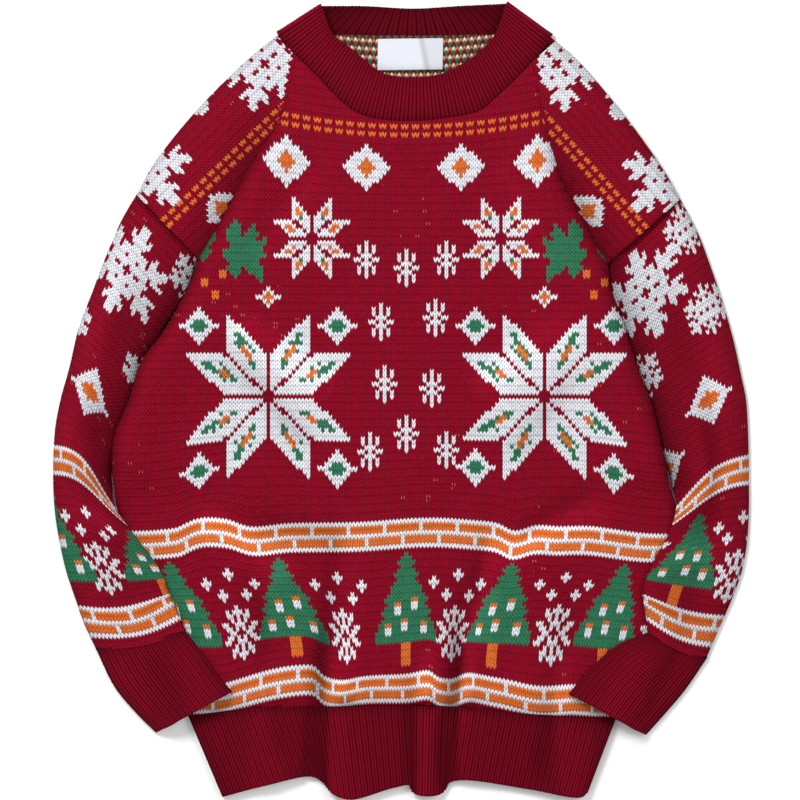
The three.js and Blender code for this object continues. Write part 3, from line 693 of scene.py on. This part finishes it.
# folds of a sleeve: shares of its length and width where each is deepest, how far it runs along
# and across, and its height
sleeveFolds = {
    "left": [(0.22, 0.62, 0.12, 0.22, -1.6), (0.30, 0.35, 0.10, 0.20, 1.2), (0.46, 0.70, 0.10, 0.25, -2.0),
             (0.55, 0.30, 0.06, 0.35, 1.6), (0.60, 0.45, 0.05, 0.40, -1.8), (0.70, 0.55, 0.06, 0.35, 1.4),
             (0.78, 0.65, 0.05, 0.30, -1.5), (0.88, 0.55, 0.05, 0.35, -1.8)],
    "right": [(0.26, 0.50, 0.14, 0.16, -1.5), (0.40, 0.30, 0.12, 0.20, 1.2), (0.52, 0.44, 0.14, 0.10, -2.4),
              (0.58, 0.68, 0.08, 0.20, 1.8), (0.68, 0.60, 0.06, 0.30, -1.8), (0.78, 0.40, 0.06, 0.30, 1.4),
              (0.86, 0.62, 0.05, 0.25, -1.8), (0.94, 0.50, 0.04, 0.35, -1.6)],
}
sleeveMotifs = {
    "left": {"flakes": [(-5, 16, 13), (13, 6, 7), (11, 33, 6), (-14, 34, 6)], "diamonds": [(-2, 48)],
             "friezeFlakes": (-3,), "trees": (-15, 12)},
    "right": {"flakes": [(5, 14, 13), (-12, 7, 7), (-10, 27, 7), (14, 32, 7)],
              "diamonds": [(-3, 48), (14, 56)], "friezeFlakes": (-11, 18), "trees": (3,)},
}
# length of cloth from the seam against length along each edge: the inner edge is bunched at the elbow
edgeCourses = {"outer": ([0, 245, 398, 430], [0, 245, 390, 414]),
               "inner": ([0, 250, 342, 372], [0, 245, 390, 414])}


# edge points at given lengths of cloth, carried on straight past both ends
def courseEdge(line, courses, lengths):
    along = lengthsAlong(line)
    cloth = np.interp(along / along[-1] * courses[0][-1], courses[0], courses[1])
    ends = np.array([line[0] + (line[0] - line[3]) * 6, *line, line[-1] + (line[-1] - line[-4]) * 6])
    step = [(cloth[3] - cloth[0]) * 6, (cloth[-1] - cloth[-4]) * 6]
    cloth = np.concatenate([[cloth[0] - step[0]], cloth, [cloth[-1] + step[1]]])
    return np.stack([np.interp(lengths, cloth, column) for column in ends.T], -1)


# how far the courses climb in the middle of the sleeve, by length of cloth from the seam
courseClimb = {"left": ([0, 120, 245, 330, 385, 414], [0, 4, 17, 4, -9, -4]),
               "right": ([0, 120, 245, 330, 385, 414], [0, 3, 11, 3, -6, -3])}


sleeveForm = {"crown": 8.2, "foldScale": 3.0, "uneven": 2, "bodyTuck": 5.0, "lead": 3.0}


# sleeve: a flattened tube with a crown that falls off with the square of the distance from its
# middle, Gaussian folds over it, and its first row tucked into the dropped seam
def makeSleeve(side):
    rows = smoothLine(sleeveRows[side])
    step, unit = knit["stitchHeight"], knit["stitchWidth"]
    clothLength = edgeCourses["outer"][1][-1]
    lengths = np.concatenate([[-sleeveForm["lead"]], np.arange(0, clothLength, step), [clothLength]])
    columns = np.arange(-20, 21)
    courses = [(rows[:, :2], edgeCourses["outer"]), (rows[:, 2:], edgeCourses["inner"])]
    outer, inner = (courseEdge(line, course, lengths) for line, course in courses)
    width = np.linalg.norm(inner - outer, axis=1)[:, None]
    s = np.clip(columns[None, :] * unit / (width / 2), -1, 1)
    across = 0.5 + 0.5 * s
    climb = np.interp(lengths, *courseClimb[side])[:, None] * np.sin(np.pi * across)
    away = lengths[:, None] - climb
    outer, inner = (courseEdge(line, course, away) for line, course in courses)
    place = outer + (inner - outer) * across[..., None]
    x, y = place[..., 0], place[..., 1]
    # the inner edge runs under the body's lifted side
    tuck = sleeveForm["bodyTuck"] * ease(-70, -35, y) * (1 - ease(95, 125, y)) * across**3
    x = x + tuck * (1 if side == "left" else -1)
    t = away / clothLength
    folds = sum(height * np.exp(-((t - along) / length)**2 - ((across - where) / breadth)**2)
                for along, where, length, breadth, height in sleeveFolds[side])
    ends = ease(-0.01, 0.09, t) * (1 - 0.55 * ease(0.93, 1, t))
    extra = (sleeveForm["crown"] * ends * (1 - 0.55 * s * s) + sleeveForm["foldScale"] * folds
             + sleeveForm["uneven"] * wander(1.7 * x, 1.7 * y))
    extra = np.where(lengths[:, None] < 0, -1.6, extra)
    fromEdge = (1 - np.abs(s)) * width / 2
    overBody = 1 - ease(-98, -72, y)
    # painted shade along the inner edge beside the body, the outer edge and the dropped seam; on the folds
    # painted shade in troughs, painted light on ridges
    shade = (hollow((1 - s) * width / 2, 0.62 * (1 - overBody), 20) * hollow((1 + s) * width / 2, 0.28, 8)
             * (1 + 0.11 * np.clip(folds, -2.2, 1.2)) * hollow(lengths[:, None], 0.22, 4))
    u = s * width / 2 / unit
    v = -lengths[:, None] / step
    i, j = np.meshgrid(columns[:-1], -np.arange(len(lengths) - 1))
    pattern = sleevePattern(sleeveMotifs[side])
    grids = tubeGrids(side, x, y, fromEdge, extra, u, v, pattern(i, j), pattern(i, j - 1), shade)
    return makeCloth(f"{side}_sleeve_cloth", grids, [jacquard])


ribForm = {"height": 0.62, "cuffRibs": 30, "hemRibs": 132, "neckFront": 80, "neckBack": 52, "perRib": 4}


cuffForm = {"crown": 2.6, "flare": 2.6, "wave": 1.6, "bow": 0.035, "length": 78, "rows": 34}


# cuff: a flattened tube with cosine ribs across it, which bow with a sine of the width
def makeCuff(side):
    rows = smoothLine(cuffRows[side])
    count = cuffForm["rows"]
    line = pointAt(rows, np.linspace(0, 1, count))
    line = np.concatenate([line[:1] * 2.2 - line[1:2] * 1.2, line])    # the first row lies under the sleeve
    ribs = ribForm["cuffRibs"]
    share, t = np.meshgrid(np.linspace(0, 1, ribs * ribForm["perRib"] + 1),
                           np.linspace(-1 / (count - 1), 1, count + 1))
    s = 2 * share - 1
    fan = share + cuffForm["bow"] * np.sin(np.pi * share) * np.sin(2.6 * t + 0.4)
    x = line[:, :1] + (line[:, 2:3] - line[:, :1]) * fan
    y = line[:, 1:2] + (line[:, 3:] - line[:, 1:2]) * fan
    width = np.linalg.norm(line[:, 2:] - line[:, :2], axis=1)[:, None]
    fromEdge = np.minimum(fan, 1 - fan) * width
    waves = np.sin(7.5 * share + 2.2 * t + (0.5 if side == "left" else 2)) * np.sin(np.pi * share)
    waves = cuffForm["wave"] * waves * ease(0, 0.4, t)
    ridge = ribForm["height"] * (0.5 + 0.5 * np.cos(np.pi * ribs * s))
    puff = cuffForm["crown"] + cuffForm["flare"] * t + waves
    extra = np.where(t < 0, -0.4, puff + ridge * np.clip(fromEdge / 3, 0, 1))
    # painted shade at the edges and the seam, painted light on the waves' crests and shade in their dips, and
    # the whole cuff painted a little lighter
    shade = hollow(fromEdge, 0.3, 7) * hollow(t * cuffForm["length"], 0.35, 5) * (1.12 + 0.13 * waves)
    grids = tubeGrids(side, x, y, fromEdge, extra, share * ribs, -30 * t, red, red, shade)
    return makeCloth(f"{side}_cuff_cloth", grids, [rib])


hemForm = {"foldScale": 2.6, "swing": 0.8, "puff": 2.2, "flatness": 9, "length": 80, "rows": 30}


# hem rib: a flat ring with the section of a superellipse; cosine ribs, the folds that run down
# from the front and a slow sine stand on its upper face
def makeHem():
    edge = smoothLine(hemEdge)
    ribs = ribForm["hemRibs"]
    share = np.linspace(0, 1, ribs * ribForm["perRib"] + 1)
    # the first row lies under the body
    down = np.concatenate([[-0.035], np.linspace(0, 1, hemForm["rows"])])[:, None, None]
    high = pointAt(hemLine, share) * [0.99, 1] - [0, 0.6]
    plan = high[None] * (1 - down) + pointAt(edge, share)[None] * down
    x, y = plan[..., 0], plan[..., 1]
    s = 2 * share[None, :] - 1
    half = knit["wall"] + knit["layerGap"] / 2
    swell = (1 - np.abs(s)**hemForm["flatness"])**(1 / hemForm["flatness"])
    fold = np.maximum(hemForm["foldScale"] * foldHeight(frontFolds, x, y), -2.0)
    fold = fold * ease(0, 0.1, 1 - np.abs(s))
    ridge = ribForm["height"] * (0.5 + 0.5 * np.cos(np.pi * ribs * s))
    fromSeam = down[..., 0] * hemForm["length"]
    swing = hemForm["swing"] * np.sin(x * 0.11) * down[..., 0]
    seamDip = 1 - 0.9 * np.exp(-(np.clip(fromSeam, 0, None) / 6)**2)
    top = half + half * swell + (fold * seamDip + ridge + swing + hemForm["puff"] * seamDip - 0.9) * swell
    top = np.where(down[..., 0] < 0, half + 0.6 * half * swell, top)
    # painted shade along the seam and towards the ends; on the folds painted shade in troughs, painted light
    # on ridges
    shade = (1 + 0.13 * np.clip(fold, -2.2, 1.6)) * hollow(fromSeam, 0.4, 7)
    shade = shade * hollow((1 - np.abs(s)) * 180, 0.3, 9)
    bottom = half - half * swell
    grids = [{"x": x, "y": y, "z": z, "u": share * ribs, "v": -35 * down[..., 0], "yarn": red, "below": red,
              "shade": shade, "mirrored": mirrored} for z, mirrored in ((top, True), (bottom, False))]
    return makeCloth("hem_rib_cloth", grids, [rib])


neckForm = {"turnRadius": 2.4, "stand": 3.9, "swell": 1.7, "wave": 0.42, "base": 1.5, "width": 40,
            "rows": 17, "thickness": 2.0}


# the band's middle surface: from the seam to the free edge, over the front, round a half circle
# at each side, and back under; the ribs push it out and in, so that both faces show them
def makeNeck():
    edgeFront, edgeBack = smoothLine(frontNeckEdge), smoothLine(backNeckEdge)
    ways = [pointAt(edgeFront, end) - pointAt(neckLine, end) for end in (0, 1)]
    outs = [np.array([-way[1], way[0]]) / np.linalg.norm(way) * side for way, side in zip(ways, (1, -1))]
    front = np.linspace(0, 1, ribForm["neckFront"] * ribForm["perRib"] + 1)
    back = np.linspace(1, 0, ribForm["neckBack"] * ribForm["perRib"] + 1)
    turn = np.linspace(0, 1, 12)[1:-1]

    # once round the band: along the front, round one end, along the back, round the other
    def aroundBand(frontLine, backLine):
        ends = [np.repeat(pointAt(frontLine, end)[None], len(turn), 0) for end in (1, 0)]
        return np.concatenate([pointAt(frontLine, front), ends[0], pointAt(backLine, back), ends[1],
                               pointAt(frontLine, [0])])

    seam, edge = aroundBand(neckLine, backNeckLine), aroundBand(edgeFront, edgeBack)
    quarter = np.pi / 2
    angle = np.concatenate([np.full(len(front), quarter), quarter - np.pi * turn,
                            np.full(len(back), -quarter), -quarter + np.pi * turn, [quarter]])
    outward = np.repeat(np.array([outs[0], outs[1], outs[0]]),
                        [len(front), len(turn) + len(back), len(turn) + 1], 0)
    inFront, behind = ribForm["neckFront"], ribForm["neckBack"]
    ribs = np.concatenate([front * inFront, inFront + turn, inFront + 1 + (1 - back) * behind,
                           inFront + behind + 1 + turn, [inFront + behind + 2]])
    share = np.linspace(-0.06, 1, neckForm["rows"])[:, None]    # the first row lies under the front's middle
    middle = np.concatenate([ease(0, 0.12, front) * (1 - ease(0.88, 1, front)),
                             np.zeros(len(angle) - len(front))])
    share = np.where(share < 0, share * middle[None, :], share)
    turned, up = np.cos(angle)[None, :], np.sin(angle)[None, :]
    wave = neckForm["wave"] * np.cos(2 * np.pi * ribs)[None, :] * ease(0, 0.12, share)
    reach = neckForm["turnRadius"] * turned + wave * turned
    x = seam[None, :, 0] * (1 - share) + edge[None, :, 0] * share + outward[None, :, 0] * reach
    y = seam[None, :, 1] * (1 - share) + edge[None, :, 1] * share + outward[None, :, 1] * reach
    swell = neckForm["swell"] * np.sin(np.pi * share) * (0.35 + 0.65 * ease(-0.5, 1, up))
    z = (neckForm["base"] + neckForm["turnRadius"] * (1 + up)
         + neckForm["stand"] * np.clip(share, 0, 1)**1.5 + swell + wave * up
         - 1.4 * ease(0.03, -0.06, share) * ease(-1, 1, up))
    # painted shade at the seam and the free edge, and the band's upper face painted lighter than its
    # underside
    shade = (hollow(np.abs(share) * neckForm["width"], 0.3, 7) * (0.74 + 0.18 * ease(-0.5, 1, up))
             * hollow((1 - share) * neckForm["width"], 0.15, 8))
    grid = {"x": x, "y": y, "z": z, "u": ribs, "v": neckForm["rows"] * share, "yarn": red, "below": red,
            "shade": shade, "standing": True}
    return makeCloth("neck_rib_cloth", [grid], [rib], neckForm["thickness"], offset=0)


labelForm = {"width": 58, "height": 28, "centreX": 8, "topY": 321.5, "thickness": 0.5}


# satin slip: flat at its sewn top edge, lifting a little below, with one soft diagonal crease
def makeLabel():
    share, down = np.meshgrid(np.linspace(-0.5, 0.5, 59), np.linspace(1, 0, 27))
    x = labelForm["centreX"] + labelForm["width"] * share + 0.6 * (1 - down)
    y = labelForm["topY"] - labelForm["height"] * down + 0.7 * share
    crease = np.exp(-((x - 18 - 5 * down) / 2.6)**2)
    curl = 0.9 * down**2 + 0.7 * np.exp(-((share + 0.5) / 0.08)**2) * down
    z = knit["wall"] + 0.9 + 1.1 * crease * down + curl
    # painted shade in the diagonal crease, over the part right of it and along the lower edge
    shade = (1 - 0.30 * crease) * (1 - 0.10 * ease(14, 24, x - 5 * down)) * (1 - 0.12 * ease(0.75, 1, down))
    grid = {"x": x, "y": y, "z": z, "u": x - labelForm["centreX"], "v": y, "yarn": white,
            "below": white, "shade": shade}
    return makeCloth("neck_label_cloth", [grid], [satin], labelForm["thickness"])


print("materials")


# a shader socket that takes part in Python sums; each operator adds a Math node
class Wire:
    def __init__(self, tree, socket=None):
        self.tree, self.socket = tree, socket

    def node(self, kind, settings=None, inputs=None, out=0):
        made = self.tree.nodes.new(kind)
        for name, value in (settings or {}).items():
            if name == "stops":
                ramp = made.color_ramp
                while len(ramp.elements) < len(value):
                    ramp.elements.new(0.5)
                for element, (place, colour) in zip(ramp.elements, value):
                    element.position, element.color = place, colour
            elif name == "interpolation":
                made.color_ramp.interpolation = value
            else:
                setattr(made, name, value)
        for name, value in (inputs or {}).items():
            if isinstance(value, Wire):
                self.tree.links.new(value.socket, made.inputs[name])
            else:
                made.inputs[name].default_value = value
        return Wire(self.tree, made.outputs[out])

    def calc(self, operation, *values):
        return self.node("ShaderNodeMath", {"operation": operation}, dict(enumerate(values)))

    def __add__(self, other): return self.calc("ADD", self, other)
    def __radd__(self, other): return self.calc("ADD", other, self)
    def __sub__(self, other): return self.calc("SUBTRACT", self, other)
    def __rsub__(self, other): return self.calc("SUBTRACT", other, self)
    def __mul__(self, other): return self.calc("MULTIPLY", self, other)
    def __rmul__(self, other): return self.calc("MULTIPLY", other, self)
    def __pow__(self, other): return self.calc("POWER", self, other)
    def __mod__(self, other): return self.calc("FLOORED_MODULO", self, other)
    def __lt__(self, other): return self.calc("LESS_THAN", self, other)
    def __gt__(self, other): return self.calc("GREATER_THAN", self, other)
    def __abs__(self): return self.calc("ABSOLUTE", self)
    def sine(self): return self.calc("SINE", self)
    def floor(self): return self.calc("FLOOR", self)

    def mix(self, first, second):
        return self.node("ShaderNodeMix", {"data_type": "RGBA"}, {0: self, 6: first, 7: second}, out=2)

    # a colour times this grey light
    def on(self, colour):
        grey = self.node("ShaderNodeCombineColor", {}, {0: self, 1: self, 2: self})
        return self.node("ShaderNodeMix", {"data_type": "RGBA", "blend_type": "MULTIPLY"},
                         {0: 1.0, 6: colour, 7: grey}, out=2)


# a new material, the Wire that its nodes start from, and its shader
def newMaterial(name, roughness, specular=0.05):
    material = bpy.data.materials.new(name)
    material.use_nodes = True
    shader = material.node_tree.nodes["Principled BSDF"]
    shader.inputs["Roughness"].default_value = roughness
    shader.inputs["Specular IOR Level"].default_value = specular
    return material, Wire(material.node_tree), shader


# colour and bump to the shader
def finish(tree, shader, colour, height, distance, strength):
    bump = tree.node("ShaderNodeBump", {}, {"Height": height, "Distance": distance, "Strength": strength})
    tree.tree.links.new(colour.socket, shader.inputs["Base Color"])
    tree.tree.links.new(bump.socket, shader.inputs["Normal"])


# column and row of the stitch, from the piece's own map
def stitchPlace(tree):
    uv = tree.node("ShaderNodeUVMap", {"uv_map": "stitches"})
    u = tree.node("ShaderNodeSeparateXYZ", {}, {0: uv}, out=0)
    v = tree.node("ShaderNodeSeparateXYZ", {}, {0: uv}, out=1)
    return u, v


# noise in the piece's own metres, for yarn that isn't one even colour
def heather(tree, scale):
    place = tree.node("ShaderNodeTexCoord", out=3)
    return tree.node("ShaderNodeTexNoise", {}, {"Vector": place, "Scale": scale, "Detail": 3.0})


jacquardLook = {"cavityShade": 0.66, "speck": 0.020, "bump": 0.0013, "heather": 0.25}


# light that the mesh builders painted into hollows and folds
def shadeOf(tree):
    return tree.node("ShaderNodeAttribute", {"attribute_name": "shade"}, out=2)


# stocking stitch: in each cell the yarn's two legs meet in a V, so the line between one stitch and
# the next lies half a stitch lower in the middle of a column than at its sides
def jacquardMaterial():
    material, tree, shader = newMaterial("jacquard knit", 0.95)
    u, v = stitchPlace(tree)
    fromMiddle = abs((u % 1) * 2 - 1)
    drop = 0.6 * fromMiddle
    place = (v % 1) - drop
    isBelow = place < 0
    along = place % 1
    leg = abs(((u % 1) * 6.2832).sine())
    height = (1 - (along * 2 - 1)**2) * (0.35 + 0.65 * leg)
    own = tree.node("ShaderNodeAttribute", {"attribute_name": "yarn"})
    below = tree.node("ShaderNodeAttribute", {"attribute_name": "yarnBelow"})
    colour = isBelow.mix(own, below)
    cell = tree.node("ShaderNodeCombineXYZ", {}, {0: u.floor(), 1: v.floor()})
    chance = tree.node("ShaderNodeTexWhiteNoise", {"noise_dimensions": "2D"}, {"Vector": cell})
    patch = heather(tree, 9.0) > 0.56
    speck = (chance > 1 - jacquardLook["speck"]) * (fromMiddle > 0.62) * (abs((v % 1) - 0.5) < 0.24) * patch
    colour = (0.7 * speck).mix(colour, (0.72, 0.36, 0.16, 1.0))
    between, middle = (along * 2 - 1)**2, 1 - leg    # 1 between two rows, 1 where the legs part
    # painted shade between rows and where the legs part, lighter on the legs
    shade = 1.05 - jacquardLook["cavityShade"] * between * middle - 0.20 * between - 0.16 * middle
    striped = 1 + 0.09 * (v * 3.1416 + 0.6 * heather(tree, 30.0)).sine()    # courses pair up in faint stripes
    fuzzyLevel = 1 + jacquardLook["heather"] * (heather(tree, 260.0) - 0.5) + 0.12 * (chance - 0.5)
    light = shade * fuzzyLevel * striped * shadeOf(tree)
    finish(tree, shader, light.on(colour), height, jacquardLook["bump"], 0.75)
    return material


# wrong side of the jacquard: little bumps, white and orange by turns, then red and green by turns
def floatsMaterial():
    material, tree, shader = newMaterial("knit floats", 0.95)
    u, v = stitchPlace(tree)
    fromMiddle = abs((u % 1) * 2 - 1)
    fallen = v + 0.45 * fromMiddle
    column, row = u.floor(), fallen.floor()
    order = (column + (row * 0.5).floor()) % 2 * 0.25 + row % 2 * 0.5 + 0.05
    colour = tree.node("ShaderNodeValToRGB", {"interpolation": "CONSTANT", "stops": [
        (0.0, (0.78, 0.75, 0.72, 1)), (0.25, (0.70, 0.18, 0.035, 1)),
        (0.5, (0.24, 0.007, 0.02, 1)), (0.75, (0.040, 0.17, 0.085, 1))]}, {0: order})
    along = fallen % 1
    height = abs((along * 3.1416).sine()) * (1.15 - fromMiddle)
    # painted shade in the gaps between the bumps
    shade = 0.22 + 0.82 * height
    finish(tree, shader, shade.on(colour), height, 0.0012, 0.8)
    return material


# rib: the ground's red a little darker, painted shade in the groove and between the small stitches up each
# ridge
def ribMaterial():
    material, tree, shader = newMaterial("rib knit", 0.95)
    u, v = stitchPlace(tree)
    fromRidge = abs(((u + 0.5) % 1) * 2 - 1)
    ridge = 1 - fromRidge
    stitch = abs((((v + 0.35 * fromRidge) % 1) * 3.1416).sine())
    height = ridge * 0.7 + stitch * 0.3
    shade = 0.10 + 0.66 * ridge + 0.22 * stitch - 0.10 * (u * 3.1416).sine() * fromRidge
    # painted shade of the grooves and of the mesh, with yarn fuzz
    fuzzyLevel = shade * (1 + 0.3 * (heather(tree, 300.0) - 0.5)) * shadeOf(tree)
    base = tuple(yarnColours[red] * 0.88) + (1.0,)
    finish(tree, shader, fuzzyLevel.on(base), height, 0.001, 0.8)
    return material


# satin: fine close warp threads
def satinMaterial():
    material, tree, shader = newMaterial("label satin", 0.55, 0.2)
    u, v = stitchPlace(tree)
    warp = abs((u * 9).sine())
    weft = abs((v * 5).sine())
    cloud = heather(tree, 60.0)
    # painted light on the threads' tops, a cloud of tone, and the mesh's painted shade
    shade = (0.90 + 0.05 * warp + 0.03 * weft + 0.05 * cloud) * shadeOf(tree)
    level = tree.node("ShaderNodeCombineColor", {}, {0: shade * 0.62, 1: shade * 0.64, 2: shade * 0.69})
    finish(tree, shader, level, warp * 0.6 + weft * 0.4, 0.0001, 0.25)
    return material


print("pieces")
jacquard, floats = jacquardMaterial(), floatsMaterial()
rib, satin = ribMaterial(), satinMaterial()


# each piece rides on the one body and stands for one node
def dress(piece, node):
    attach(piece, "root")
    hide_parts(node)


back, front = makeBack(), makeFront()
dress(back, "back_panel")
dress(front, "front_panel")
print("body done")
sleeves = [makeSleeve(side) for side in ("left", "right")]
cuffs = [makeCuff(side) for side in ("left", "right")]
for side, sleeve, cuff in zip(("left", "right"), sleeves, cuffs):
    dress(sleeve, f"{side}_sleeve")
    dress(cuff, f"{side}_cuff")
print("sleeves done")
hem, neck, label = makeHem(), makeNeck(), makeLabel()
dress(hem, "hem_rib")
dress(neck, "neck_rib")
dress(label, "neck_label")

print("stage, light and camera")
stage = {"floorSize": 6.0, "width": 0.712, "distance": 6.0, "centreX": -0.0009, "sensor": 36, "air": 0.45}


# a round area light that looks at the origin
def softLight(name, place, size, watts):
    data = bpy.data.lights.new(name, "AREA")
    data.shape, data.size, data.energy = "DISK", size, watts
    light = bpy.data.objects.new(name, data)
    light.location = place
    way = -np.array(place, float)
    light.rotation_euler = (np.arctan2(np.hypot(way[0], way[1]), -way[2]), 0, np.arctan2(-way[0], way[1]))
    bpy.context.collection.objects.link(light)


floorMesh = bpy.data.meshes.new("floor")
reach = stage["floorSize"] / 2
floorMesh.from_pydata([(-reach, -reach, 0), (reach, -reach, 0), (reach, reach, 0), (-reach, reach, 0)], [],
                      [(0, 1, 2, 3)])
floorObject = bpy.data.objects.new("floor", floorMesh)
floorMaterial, _, floorShader = newMaterial("pale floor", 0.9)
floorShader.inputs["Base Color"].default_value = (0.93, 0.93, 0.93, 1)
floorMesh.materials.append(floorMaterial)
bpy.context.collection.objects.link(floorObject)

softLight("key", (-1.0, 1.2, 1.7), 0.9, 42)
softLight("fill", (1.5, 0.3, 1.8), 1.6, 18)
softLight("low", (-1.2, -1.3, 1.4), 1.6, 8)
world = bpy.data.worlds.new("studio")
world.use_nodes = True
world.node_tree.nodes["Background"].inputs[0].default_value = (1, 1, 1, 1)
world.node_tree.nodes["Background"].inputs[1].default_value = stage["air"]
bpy.context.scene.world = world
bpy.context.scene.view_settings.view_transform = "Standard"

cameraData = bpy.data.cameras.new("camera")
cameraData.sensor_width = stage["sensor"]
cameraData.lens = stage["sensor"] * stage["distance"] / stage["width"]
cameraData.clip_end = 50
camera = bpy.data.objects.new("camera", cameraData)
camera.location = (stage["centreX"], 0, stage["distance"])
bpy.context.collection.objects.link(camera)
bpy.context.scene.camera = camera
